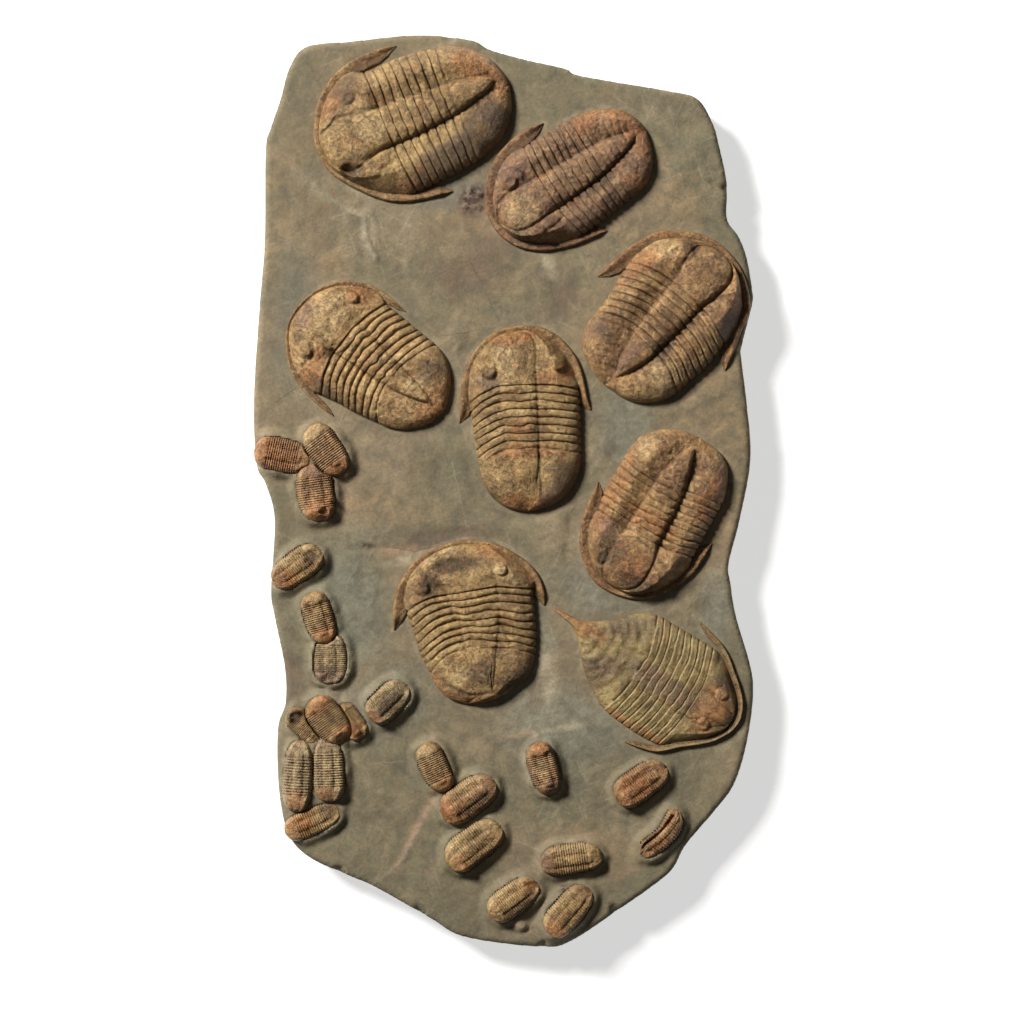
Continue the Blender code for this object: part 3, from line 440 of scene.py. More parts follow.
        # The cream patch is a painted highlight on the flank towards the light, the dark one painted shade on
        # the other side.
        "patches": [("dark", -9, -4, 5, 22), ("rust", 2, -22, 10, 8), ("cream", 14, 0, 7, 26)],
    },
    "small_trilobite_20": {
        "furrows": (0.42, 0.36),
        # The cream patch on its right flank is a painted highlight on the side towards the light.
        "patches": [("cream", 16, 0, 7, 28), ("rust", -4, 26, 14, 9)],
    },
    "small_trilobite_21": {"furrows": (0.24, 0.36), "patches": [("rust", 0, 10, 20, 24)]},
    "broken_trilobite": {
        "furrows": (0.0, 0.0), "heads": (0.9, 0.9), "eye": 0.0, "cracks": (0.0, 0.0), "levels": (0.5, 0.9),
        "patches": [("rust", 8, -14, 9, 14), ("dark", -10, 0, 6, 26)],
    },
}
PATCH_KINDS = ("rust", "purple", "dark", "cream")

# Which fossils have each finish: the large ones by name, the small ones by number.
LARGE_SLOTS = {
    "shell_ochre": ["large_trilobite_1", "large_trilobite_5", "large_trilobite_7"],
    "shell_purple_brown": ["large_trilobite_2"],
    "shell_dark_brown": ["large_trilobite_3", "large_trilobite_6"],
    "shell_golden": ["large_trilobite_4"],
    "shell_olive": ["spine_tailed_trilobite"],
    "small_shell_rusty": ["broken_trilobite"],
}
SMALL_SLOTS = {
    "small_shell_rusty": (1, 2, 3, 15, 17, 21),
    "small_shell_brown": (4, 5, 8, 9, 10, 13, 14, 16, 18, 19, 20),
    "small_shell_grey": (6, 7, 11, 12),
}


def small_name(number):
    """The name of a small one, from its place in the list."""
    return "small_trilobite_%02d" % number


def smooth_curve(points, steps=12):
    """Points of a Catmull-Rom curve through the given ones, steps of them to each span."""
    ends = [2 * points[0] - points[1]] + list(points) + [2 * points[-1] - points[-2]]
    curve = []
    for before, start, end, after in zip(ends, ends[1:], ends[2:], ends[3:]):
        for step in range(steps):
            t = step / steps
            curve.append(start + 0.5 * t * (end - before
                         + t * (2 * before - 5 * start + 4 * end - after
                                + t * (3 * start - before - 3 * end + after))))
    curve.append(points[-1])
    return np.array(curve)


def run_along(points):
    """Distance run along a line at each of its points."""
    return np.concatenate([[0], np.cumsum(np.linalg.norm(np.diff(points, axis=0), axis=1))])


def along_rail(nose, sections, tail, stations):
    """Points of a rail at its stations: 0 nose, 1 front of the thorax, 2 its back, 3 tail."""
    head, thorax, shield = sections
    steps = 12
    curve = smooth_curve(np.array([nose] + head + thorax + shield + [tail], float), steps)
    run = run_along(curve)
    front = (len(head) + 1) * steps
    back = front + (len(thorax) - 1) * steps
    lengths = np.interp(stations, [0, 1, 2, 3], run[[0, front, back, -1]])
    return np.stack([np.interp(lengths, run, curve[:, 0]), np.interp(lengths, run, curve[:, 1])], axis=1)


def small_spec(centre, heading, left, right, front, back, height):
    """Rails of a small trilobite: a blunt oval, a little narrower behind, with a middle lobe."""
    middle = (front + back) / 2
    half = (front - back) / 2

    def side(share, width):
        points = []
        for place in (0.86, 0.5, 0.15, -0.15, -0.5, -0.86):
            spread = (1 - abs(place) ** SMALL_BLUNTNESS) ** 0.5
            spread *= 1 - SMALL_TAPER * (1 - place) / 2
            points.append((width * share * spread, middle + half * place))
        return [points[:1], points[1:5], points[5:]]

    return {"centre": centre, "heading": heading, "height": height,
            "nose": (0, front), "tail": (0, back),
            "left_edge": side(1, -left), "left_furrow": side(SMALL_AXIS, -left),
            "right_furrow": side(SMALL_AXIS, right), "right_edge": side(1, right)}


def smooth(low, high, value):
    """0 below low, 1 above high, and an even rise between. low may be the larger one."""
    t = np.clip((value - low) / (high - low), 0, 1)
    return t * t * (3 - 2 * t)


def corner_value(column, row, seed):
    """A repeatable random value from 0 to 1 for each corner of the noise's lattice."""
    mixed = (column * 374761393 + row * 668265263 + seed * 144269504) & 0xFFFFFFFF
    mixed = ((mixed ^ (mixed >> 13)) * 1274126177) & 0xFFFFFFFF
    return ((mixed ^ (mixed >> 16)) & 0xFFFF) / 65535.0


def noise(x, y, size, seed=0):
    """Smooth noise from -1 to 1, with lumps of about this size."""
    x = np.asarray(x, float) / size
    y = np.asarray(y, float) / size
    column = np.floor(x).astype(np.int64)
    row = np.floor(y).astype(np.int64)
    u = smooth(0, 1, x - column)
    v = smooth(0, 1, y - row)
    low = corner_value(column, row, seed) * (1 - u) + corner_value(column + 1, row, seed) * u
    high = corner_value(column, row + 1, seed) * (1 - u) + corner_value(column + 1, row + 1, seed) * u
    return 2 * (low * (1 - v) + high * v) - 1


def rough(x, y, size, octaves=3, seed=0):
    """Noise with finer and weaker noise added, each turned against the last."""
    total, weight, strength = 0.0, 0.0, 1.0
    for octave in range(octaves):
        angle = 0.9 * octave + seed
        turned_x = x * math.cos(angle) - y * math.sin(angle)
        turned_y = x * math.sin(angle) + y * math.cos(angle)
        total = total + strength * noise(turned_x, turned_y, size / 2 ** octave, seed * 31 + octave)
        weight += strength
        strength *= 0.55
    return total / weight


def by_side(across, left, right):
    """One value left of the middle and another right of it."""
    return np.where(across < 0, left, right)


def body_share(stations):
    """How the height falls from the thorax to the nose and the tail, as a share of the whole."""
    head = np.sqrt(np.clip(1 - np.clip(1 - stations, 0, 1) ** 3, 0, 1))
    tail = np.sqrt(np.clip(1 - np.clip(stations - 2, 0, 1) ** 2.4, 0, 1))
    return head * tail * (1 - (1 - TAIL_LEVEL) * np.clip(stations - 1, 0, 1))


def body_places(spec, stations, across):
    """Places over a body. Rows lie across it at the stations; across goes from -2, the left edge,
    by -1 and 1, the furrows beside the middle lobe, to 2, the right edge."""
    rails = {rail: along_rail(spec["nose"], spec[rail], spec["tail"], stations)[:, None, :]
             for rail in ("left_edge", "left_furrow", "right_furrow", "right_edge")}
    c = across[None, :, None]
    mix = (np.clip(c, -1, 1) + 1) / 2
    middle = rails["left_furrow"] + (rails["right_furrow"] - rails["left_furrow"]) * mix
    share = np.clip(np.abs(c) - 1, 0, 1)
    run = np.where(c < 0, rails["left_edge"], rails["right_edge"]) - middle
    bend = np.concatenate([share, 0.45 * share + 0.55 * share ** 2], axis=2)
    places = middle + run * bend
    return places[:, :, 0], places[:, :, 1]


def segment_rows(segments, per_segment):
    """Stations over the thorax, closer together beside the grooves between its segments."""
    within = np.linspace(0, 1, per_segment, endpoint=False)
    within = within - 0.11 * np.sin(2 * math.pi * within)
    return np.concatenate([1 + (index + within) / segments for index in range(segments)])


def line_distance(x, y, points):
    """Distance of places from a line through points."""
    best = np.full(np.shape(x), 1e9)
    for (ax, ay), (bx, by) in zip(points, points[1:]):
        length = (bx - ax) ** 2 + (by - ay) ** 2
        t = np.clip(((x - ax) * (bx - ax) + (y - ay) * (by - ay)) / length, 0, 1)
        best = np.minimum(best, np.hypot(x - ax - t * (bx - ax), y - ay - t * (by - ay)))
    return best


def inside_distance(x, y, outline):
    """Distance of places from a closed outline, above zero inside it."""
    inside = np.zeros(np.shape(x), bool)
    closed = list(outline) + [outline[0]]
    for (ax, ay), (bx, by) in zip(closed, closed[1:]):
        if ay != by:
            crosses = (ay > y) != (by > y)
            inside ^= crosses & (x < ax + (y - ay) * (bx - ax) / (by - ay))
    distance = line_distance(x, y, closed)
    return np.where(inside, distance, -distance)


def oval(x, y, centre_x, centre_y, radius_x, radius_y, turn=0.0):
    """Distance from an oval's centre, 1 on its outline. turn is in degrees, anticlockwise."""
    cos, sin = math.cos(math.radians(turn)), math.sin(math.radians(turn))
    dx, dy = x - centre_x, y - centre_y
    return np.hypot((dx * cos + dy * sin) / radius_x, (dy * cos - dx * sin) / radius_y)


def to_slab(spec, x, y):
    """A trilobite's own places on the slab."""
    turn = math.radians(spec["heading"] - 90)
    cos, sin = math.cos(turn), math.sin(turn)
    return spec["centre"][0] + x * cos - y * sin, spec["centre"][1] + x * sin + y * cos


def body_outline(spec, steps=16):
    """The outline of a body, without its rim, on the slab."""
    stations = np.linspace(0, 3, 3 * steps + 1)
    left = along_rail(spec["nose"], spec["left_edge"], spec["tail"], stations)
    right = along_rail(spec["nose"], spec["right_edge"], spec["tail"], stations)
    own = np.concatenate([left, right[-2:0:-1]])
    return np.stack(to_slab(spec, own[:, 0], own[:, 1]), axis=1)


def furrow_level(look, side, stations):
    """Level of the furrow on one side, 0 left or 1 right: its own in the thorax, shallower elsewhere."""
    thorax, head = look["levels"][side], look["heads"][side]
    level = thorax + (head - thorax) * smooth(1.0, 0.75, stations)
    return level + (0.72 - thorax) * smooth(2.0, 2.7, stations) * (thorax < 0.72)


def levels(look, stations, across):
    """Height over a body as a share of its middle's: a lobe along the middle, ribs that arch down."""
    lobe_share = np.clip(np.abs(across), 0, 1)
    share = np.clip(np.abs(across) - 1, 0, 1)
    furrow = by_side(across, furrow_level(look, 0, stations), furrow_level(look, 1, stations))
    crest = np.maximum(look.get("crest", CREST_LEVEL), furrow - 0.02)
    # Behind its end the middle lobe of the tail shield fades into the fields beside it.
    behind = smooth(look["axis_end"] - 0.09, look["axis_end"] + 0.07, stations)
    furrow = furrow + (crest - furrow) * behind
    lobe = furrow + (1 - furrow) * (1 - lobe_share ** 2.3) ** 0.75 * (1 - behind)
    inner = furrow + (crest - furrow) * smooth(0, 0.5, share)
    steep = np.sqrt(np.clip((1 - share ** 3) / (1 - 0.5 ** 3), 0, 1))
    # The cheeks of the head shield slope down more gently than the ribs.
    gentle = np.clip((1 - share ** 1.8) / (1 - 0.5 ** 1.8), 0, 1) ** 0.95
    cheek = look["cheek"] * smooth(1.0, 0.85, stations) * smooth(0.0, 0.4, stations)
    outer = crest * (steep + (gentle - steep) * cheek)
    flank = np.where(share < 0.5, inner, outer)
    return np.where(np.abs(across) < 1, lobe, flank)


def segment_relief(look, stations, across, thorax_length):
    """Depths in mm of the grooves between the segments and of the furrow along each rib. Also how much
    painted shade each place gets in its hollows, the grooves alone and the lips, on which a highlight is
    painted."""
    count = look["segments"]
    seed = look["seed"]
    length = thorax_length / count
    share = np.clip(np.abs(across) - 1, 0, 1)
    beside = smooth(0.8, 1.3, np.abs(across))
    place = (stations - 1) * count
    wander = noise(across * 2 + 40, place * 0.6, 1.0, seed)
    wander = wander + 0.3 * noise(across * 5, place * 1.2, 1.0, seed + 1)
    place = place + look["uneven"] * wander * smooth(-0.5, 1, place)
    within = smooth(-0.15, 0.1, place) * smooth(count + 0.15, count - 0.1, place)

    nearest = np.clip(np.round(place), 0, count)
    gap = np.abs(place - nearest) * length
    vary = 1 + 0.35 * noise(nearest * 7.3, across * 2.2 + 9, 1.0, seed + 3)
    groove = np.exp(-(gap / (look["groove_width"] * (0.75 + 0.25 * beside))) ** 2) * vary
    depth = look["groove"] * groove
    # Each segment is rounded, and more in some places than in others.
    phase = place - np.floor(place)
    worn = 1 + 0.35 * noise(across * 1.7 + 3, place * 0.5, 1.0, seed + 4)
    rounded = np.abs(2 * phase - 1) ** look["round"]
    depth = depth + look["rounding"] * worn * (0.75 + 0.25 * beside) * rounded * within
    # It rises to its back edge, which lies over the front of the next.
    depth = depth - look["saw"] * (phase - 0.5) * within
    furrow_gap = (phase - 0.3 - 0.3 * share) * length
    pleural = np.exp(-(furrow_gap / (0.17 * length)) ** 2) * np.sin(math.pi * share) ** 0.6 * within
    depth = depth + look["pleural"] * pleural
    # A thin lip along the back edge, which also gets a painted highlight.
    lip = np.exp(-((phase - 0.88) * length / 0.8) ** 2) * within * (0.75 + 0.25 * vary)
    depth = depth - look["ridge"] * lip
    # Painted shade in the grooves and in the furrows along the ribs.
    hollow = look["grime"] * np.clip(0.8 * groove + 0.3 * pleural, 0, 1)
    return depth, hollow, groove, lip * (look["ridge"] > 0)


def tail_relief(look, stations, across):
    """Rings on the tail's middle lobe and ribs beside it, as depths in mm, and the ribs' crests, which get a
    painted highlight.
    """
    share = np.abs(across)
    back = np.clip(stations - 2, 0, 1)
    wave = 0.5 + 0.5 * np.cos(2 * math.pi * (back * 9))
    fade = smooth(2.0, 2.1, stations) * smooth(2.85, 2.6, stations) * smooth(1.8, 1.4, share)
    depth = look["rings"] * 2 * wave ** 3 * fade
    ribs = 0.5 + 0.5 * np.cos(2 * math.pi * (back * 13 - 1.5 * np.clip(share - 1, 0, 1)))
    beside = smooth(1.15, 1.4, share) * smooth(1.97, 1.85, share) * smooth(2.0, 2.06, stations)
    beside = beside * smooth(2.8, 2.6, stations) * look.get("tail_ribs", 0)
    return depth + beside * ribs, beside * (1 - ribs)


def eye_relief(x, y, eyes, height):
    """Eyes: round knobs with a dished top, and a groove round their foot."""
    total = np.zeros(np.shape(x))
    for eye_x, eye_y, radius in eyes:
        away = np.hypot(x - eye_x, y - eye_y) / radius
        total += height * smooth(1.25, 0.75, away)
        total -= 0.12 * height * smooth(0.6, 0.2, away)
        total -= 0.15 * height * np.exp(-((away - 1.4) / 0.22) ** 2)
    return total


def own_relief(look, x, y):
    """The bumps, dents and lines of one trilobite: height and how much painted shade its dents and lines get.
    """
    total = np.zeros(np.shape(x))
    hollow = np.zeros(np.shape(x))
    for *place, height in look.get("bumps", []):
        away = oval(x, y, *place) + 0.12 * noise(x, y, 7, look["seed"] + 5)
        total += height * smooth(1.1, 0.35, away)
        if height < 0:
            hollow += 0.35 * smooth(1, 0.5, away)
    drift = 1.2 * noise(x, y, 8, look["seed"] + 8)
    for points, depth, width in look.get("lines", []):
        line = np.exp(-(line_distance(x + drift, y + drift, points) / width) ** 2)
        total -= depth * line
        hollow += 0.8 * line
    return total, hollow


def patches(kinds, places, x, y, ragged, fade):
    """How strongly each kind of coloured patch shows. ragged frays the patches' edges."""
    masks = {kind: np.zeros(np.shape(x)) for kind in kinds}
    for kind, *place in places:
        masks[kind] = np.maximum(masks[kind], smooth(*fade, oval(x, y, *place) + ragged))
    return masks


def body_stations(look):
    """Stations of a body's rows, from its nose to its tail."""
    head = 1 - (1 - np.linspace(0, 1, look["head_rows"], endpoint=False)) ** 1.25
    thorax = segment_rows(look["segments"], look["per_segment"])
    tail = 2 + np.linspace(0, 1, look["tail_rows"]) ** 0.9
    return np.concatenate([head, thorax, tail])


def lobe_furrows(look, s, c, off):
    """The narrow furrows beside the middle lobe, weak or strong in the head and gone behind the lobe:
    their shape and their depth in mm. off is the distance from the furrow's line."""
    own_depth = by_side(c, *look["furrows"])
    crack = by_side(c, *look["cracks"])
    in_head = smooth(1.0, 0.85, s)
    strength = own_depth * (1 - in_head) + crack * in_head * smooth(0.15, 0.4, s)
    strength = strength * smooth(look["axis_end"] + 0.05, look["axis_end"] - 0.2, s)
    return np.exp(-(off / look["furrow_width"]) ** 2), strength


def body_surface(spec, look):
    """Places, heights and masks over one trilobite."""
    stations = body_stations(look)
    lobe_columns, side_columns = look["columns"]
    side = 1 + np.linspace(0, 1, side_columns + 1)[1:] ** 0.85
    across = np.concatenate([-side[::-1], np.linspace(-1, 1, lobe_columns + 1), side])
    x, y = body_places(spec, stations, across)
    s = stations[:, None] + np.zeros_like(x)
    c = across[None, :] + np.zeros_like(x)
    share = np.clip(np.abs(c) - 1, 0, 1)
    seed = look["seed"]
    middle = len(across) // 2

    height = spec["height"] * body_share(s) * levels(look, s, c)
    thorax_length = abs(np.interp(1, stations, y[:, middle]) - np.interp(2, stations, y[:, middle]))
    depth, hollow, edge_groove, lip = segment_relief(look, s, c, thorax_length)

    left, right = side_columns, -side_columns - 1       # the columns on the furrows
    lobe_half = np.abs(x[:, left] - x[:, right])[:, None] / 2
    side_width = by_side(c, np.abs(x[:, :1] - x[:, left:left + 1]), np.abs(x[:, -1:] - x[:, right:right + 1]))
    off = np.where(np.abs(c) < 1, (1 - np.abs(c)) * lobe_half, share * side_width)
    furrow, strength = lobe_furrows(look, s, c, off)
    depth = depth + furrow * strength
    hollow = hollow + furrow * np.clip(strength / 2.5, 0, 0.6)

    rings, crests = tail_relief(look, s, c)
    depth = depth + rings
    own, own_hollow = own_relief(look, x, y)
    grain = rough(x, y, 13, 4, seed + 1) * look["rough"]
    lumps = rough(x, y, 34, 2, seed + 2) * look["rough"] * 1.6
    pits = smooth(0.35, 0.9, noise(x, y, 3.4, seed + 4)) * look["rough"] * 0.9
    near_edge = np.where(np.abs(c) > 1, 1 - share ** 8, 1)
    change = own + grain + lumps - pits - depth + eye_relief(x, y, spec.get("eyes", []), look["eye"])
    z = height + change * near_edge * smooth(0, 5, height)
    off_thorax = np.maximum(smooth(0.95, 0.8, s), smooth(2.05, 2.15, s))
    brim = look["brim"] * np.sqrt(np.clip(1 - share ** 30, 0, 1)) * off_thorax * smooth(0, 0.02, s)
    z = np.maximum(z, brim * smooth(0.0, 0.03, 3 - s))
    z = np.maximum(z, 0)

    # The segments' ends stand out a little beyond the grooves between them.
    pull = 2.6 * look["groove_width"] * edge_groove * smooth(0.6, 1, share)
    x = x + (x[:, middle][:, None] - x) * pull / (np.maximum(side_width, 1) + lobe_half + 1)

    ragged = 0.45 * rough(x, y, 14, 4, seed + 11)
    masks = patches(PATCH_KINDS, look.get("patches", []), x, y, ragged, (1.35, 0.55))
    # How much painted shade the grooves, furrows, dents, lines and pits get.
    masks["hollow"] = np.clip(hollow + own_hollow + 0.5 * pits / look["rough"], 0, 1) * near_edge
    masks["flank"] = smooth(0.55, 0.97, share)
    worn = 0.6 + 0.4 * rough(x, y, 9, 2, seed + 6)
    # Where a highlight is painted: along the lips and on the tail ribs' crests.
    masks["ridge"] = np.clip(lip + 0.35 * crests, 0, 1) * near_edge * worn
    return x, y, z, masks


def below_top(z):
    """Eases the highest places down so that none passes the solids' top."""
    start = TOP - 0.3 - EASED
    over = np.maximum(z - start, 0)
    return np.minimum(z, start) + EASED * (1 - np.exp(-over / EASED))


def sink_under(spec, x, y, z, covers):
    """Lowers a trilobite's surface where others lie over it."""
    slab_x, slab_y = to_slab(spec, x, y)
    for cover in covers:
        inside = inside_distance(slab_x, slab_y, body_outline(cover))
        z = z - (z + 3) * smooth(-0.8, 1.6, inside)
    return z


def finished_piece(name, points, faces, masks):
    """A smooth piece from points in mm, carrying its masks, with its faces turned outwards."""
    data = bpy.data.meshes.new(name)
    data.from_pydata(points * MM, [], faces)
    for mask_name, values in masks.items():
        attribute = data.attributes.new(mask_name, "FLOAT", "POINT")
        attribute.data.foreach_set("value", values.astype(np.float32))
    data.validate()
    work = bmesh.new()
    work.from_mesh(data)
    bmesh.ops.recalc_face_normals(work, faces=work.faces)
    work.to_mesh(data)
    work.free()
    data.shade_smooth()
    piece = bpy.data.objects.new(name, data)
    bpy.context.scene.collection.objects.link(piece)
    return piece


class Surface:
    """Points, faces and masks of one piece, gathered from its grids and tubes."""

    def __init__(self):
        self.points = []
        self.faces = []
        self.masks = {}
        self.count = 0

    def add(self, points, faces, masks):
        """Takes in points with the faces between them. A mask left out is 0."""
        self.points.append(points)
        self.faces += [[corner + self.count for corner in face] for face in faces]
        for name in ("hollow", "flank", "ridge", *PATCH_KINDS):
            values = masks.get(name, np.zeros(len(points)))
            self.masks.setdefault(name, []).append(np.broadcast_to(values, (len(points),)))
        self.count += len(points)

    def add_body(self, x, y, z, masks):
        """A grid over a body, whose first and last rows are its nose and tail, with sides and a base."""
        rows, columns = x.shape
        keep = np.ones(rows * columns, bool)
        keep[1:columns] = False
        keep[(rows - 1) * columns + 1:] = False
        number = np.cumsum(keep) - 1
        number[1:columns] = 0
        number[(rows - 1) * columns:] = number[(rows - 1) * columns]
        grid = number.reshape(rows, columns)
        top = np.stack([x.ravel(), y.ravel(), z.ravel()], axis=1)[keep]
        loop = [grid[row, 0] for row in range(rows)] + [grid[row, -1] for row in range(rows - 2, 0, -1)]
        below = top[loop] * (1, 1, 0) + (0, 0, -BURIED)
        faces = []
        for row in range(rows - 1):
            for column in range(columns - 1):
                corners = [grid[row, column], grid[row + 1, column], grid[row + 1, column + 1],
                           grid[row, column + 1]]
                faces.append(list(dict.fromkeys(corners)))
        total = len(top)
        size = len(loop)
        for step in range(size):
            after = (step + 1) % size
            faces.append([loop[step], total + step, total + after, loop[after]])
        faces.append([total + step for step in range(size)])
        own = {name: np.concatenate([value.ravel()[keep], value.ravel()[keep][loop]])
               for name, value in masks.items()}
        self.add(np.concatenate([top, below]), faces, own)

    def add_tube(self, rings, masks):
        """A band from closed rings of points, with both ends filled."""
        steps, around, _ = rings.shape
        faces = []
        for step in range(steps - 1):
            for side in range(around):
                after = (side + 1) % around
                faces.append([step * around + side, step * around + after,
                              (step + 1) * around + after, (step + 1) * around + side])
        faces.append(list(range(around))[::-1])
        faces.append([(steps - 1) * around + side for side in range(around)])
        self.add(rings.reshape(-1, 3), faces, masks)

    def piece(self, name, spec):
        """The finished piece at its place on the slab."""
        points = np.concatenate(self.points)
        x, y = to_slab(spec, points[:, 0], points[:, 1])
        points = np.stack([x, y, below_top(points[:, 2] + SEAT)], axis=1)
        masks = {mask: np.concatenate(values) for mask, values in self.masks.items()}
        return finished_piece(name, points, self.faces, masks)


RIM_HEIGHT = 4.6
RIM_CREST = 0.16             # where its crest is, as a share of its width from the outer edge
RIM_CHEEK = 17.0             # the rim's width beside the cheeks
RIM_FRONT = 12.0             # its width in front
RIM_TIP = 1.6                # its width at the tips of the cheek spines
RIM_STEPS = 190              # rings along it
RIM_PLACES = np.linspace(0, 1, 14) ** 1.2     # points across it, as shares of its width


def rim_sides(spec):
    """The rim's outer line, the direction inwards, its width and how far each step is from a tip."""
    outline = smooth_curve(np.array(spec["rim"], float))
    run = run_along(outline)
    places = np.linspace(0, run[-1], RIM_STEPS)
    outer = np.stack([np.interp(places, run, outline[:, axis]) for axis in (0, 1)], axis=1)
    ahead = np.gradient(outer, axis=0)
    inward = np.stack([ahead[:, 1], -ahead[:, 0]], axis=1)
    inward /= np.linalg.norm(inward, axis=1)[:, None]
    from_tip = np.minimum(places, run[-1] - places) / run[-1]
    width = np.interp(from_tip, [0, 0.03, 0.07, 0.13, 0.5],
                      [RIM_TIP, 0.6 * RIM_CHEEK, 0.92 * RIM_CHEEK, RIM_CHEEK, RIM_FRONT])
    return outer, inward, width * spec.get("rim_width", 1), from_tip


def rim_rings(spec, look):
    """The head shield's border: a raised band with its crest near the outer edge."""
    places = RIM_PLACES
    rise = np.sqrt(np.clip(1 - ((RIM_CREST - places) / RIM_CREST) ** 2, 0, 1))
    rings = []
    for point, side, wide, tip in zip(*rim_sides(spec)):
        inner_end = 0.35 + 0.35 * smooth(0.05, 0.2, tip)
        fall = inner_end + (1 - inner_end) * (1 - smooth(RIM_CREST, 0.7, places))
        fall = fall * np.where(places > 0.93, 0.6, 1)
        heights = RIM_HEIGHT * np.where(places < RIM_CREST, rise, fall) * smooth(-0.02, 0.05, tip)
        x = point[0] + side[0] * places * wide
        y = point[1] + side[1] * places * wide
        heights = heights * (1 + 0.16 * noise(x, y, 16, look["seed"] + 20)) + 0.2 * rough(x, y, 5, 2, 21)
        ring = [(point[0], point[1], -BURIED)]
        ring += [(*place, max(level, 0.05)) for *place, level in zip(x, y, heights)]
        ring += [(x[-1], y[-1], -BURIED)]
        rings.append(ring)
    return np.array(rings, float)


def rim_masks(rings, look):
    """The rim is rusty along its crest and dark brown, with painted shade deepening towards the channel
    inside it.
    """
    across = np.tile(np.concatenate([[0], RIM_PLACES, [1]]), len(rings))
    x, y = rings[:, :, 0].ravel(), rings[:, :, 1].ravel()
    streaks = 0.5 + 0.5 * rough(x, y, 18, 3, look["seed"] + 30)
    # The dark that rises inwards and the hollow value are painted shade in the channel inside the rim.
    return {"rust": 0.6 * streaks, "dark": 0.3 + smooth(0.3, 0.7, across) * 0.5,
            "hollow": smooth(0.6, 1, across) * 0.35}


def trilobite(name, spec, covers=()):
    """One trilobite as a finished piece. covers are the ones that lie over it."""
    look = dict(LARGE_LOOK if name in LARGE else SMALL_LOOK)
    look["seed"] = sum(ord(letter) * (place + 1) for place, letter in enumerate(name)) % 97
    look.update(OWN_LOOK[name])
    x, y, z, masks = body_surface(spec, look)
    z = sink_under(spec, x, y, z, covers)
    surface = Surface()
    surface.add_body(x, y, z, masks)
    if "rim" in spec:
        rings = rim_rings(spec, look)
        surface.add_tube(rings, rim_masks(rings, look))
    return surface.piece(name + "_fossil", spec)


SLAB_CELL = 2.5              # spacing of the slab's face
EDGE_DROP = 5.0              # how far the worn edge falls
EDGE_REACH = 6.5             # over how wide a strip
MOUND = 6.0                  # height of the matrix left round the small ones
MOUND_REACH = 10.0
SIDE_RINGS = 15

# Lines on the face: points, depth (below zero for a ridge), width.
FACE_LINES = [
    ([(-207, 335), (-174, 310), (-152, 301), (-150, 276), (-140, 255)], -2.4, 2.8),
    ([(-134, -428), (-112, -406), (-86, -356), (-83, -349)], -0.4, 2.2),
    ([(227, 339), (236, 334), (248, 331)], 2.2, 2.6),
    ([(-170, -64), (-128, -61), (-97, -66), (-62, -58)], 0.8, 2.6),
]
# Swells of the face: height, size, octaves, seed.
FACE_SWELLS = [(2.3, 170, 2, 5), (1.3, 55, 3, 6), (0.38, 13, 3, 7)]
# Facets left by the tools, which meet in low crests: height, level, size, octaves, seed.
FACE_FACETS = [(2.4, 0.5, 95, 2, 22), (1.3, 0.4, 44, 2, 23)]
KNOB = (19, -478, 10, 8, 10)     # a lump near the lower end: x, y, two radii, turn
CRUST = (-35, 322, 15, 14)       # a grainy crust between two of the large ones
# Matrix left standing between small ones that lie together: x, y, radius, height.
BRIDGES = [
    (-206, -257, 12, 9), (-180, -258, 11, 9), (-205, -283, 16, 8), (-184, -283, 11, 8), (-208, -318, 9, 8),
    (-214, -345, 14, 7), (-236, -300, 7, 5), (-195, -164, 11, 6), (-222, 42, 12, 7), (-204, 24, 9, 7),
    (-55, -322, 9, 5), (-34, -365, 11, 5), (76, -434, 10, 5), (-200, -240, 14, 6),
]
# Chips off the edge: x, y, radius, depth.
CHIPS = [
    (-180, -417, 7, 4), (-92, -464, 9, 4), (43, -501, 7, 5), (123, -461, 8, 4), (-60, 500, 9, 3),
    (247, 332, 7, 3), (-274, 34, 6, 3), (-222, 487, 6, 2), (262, 155, 7, 3), (-240, -235, 7, 3),
]
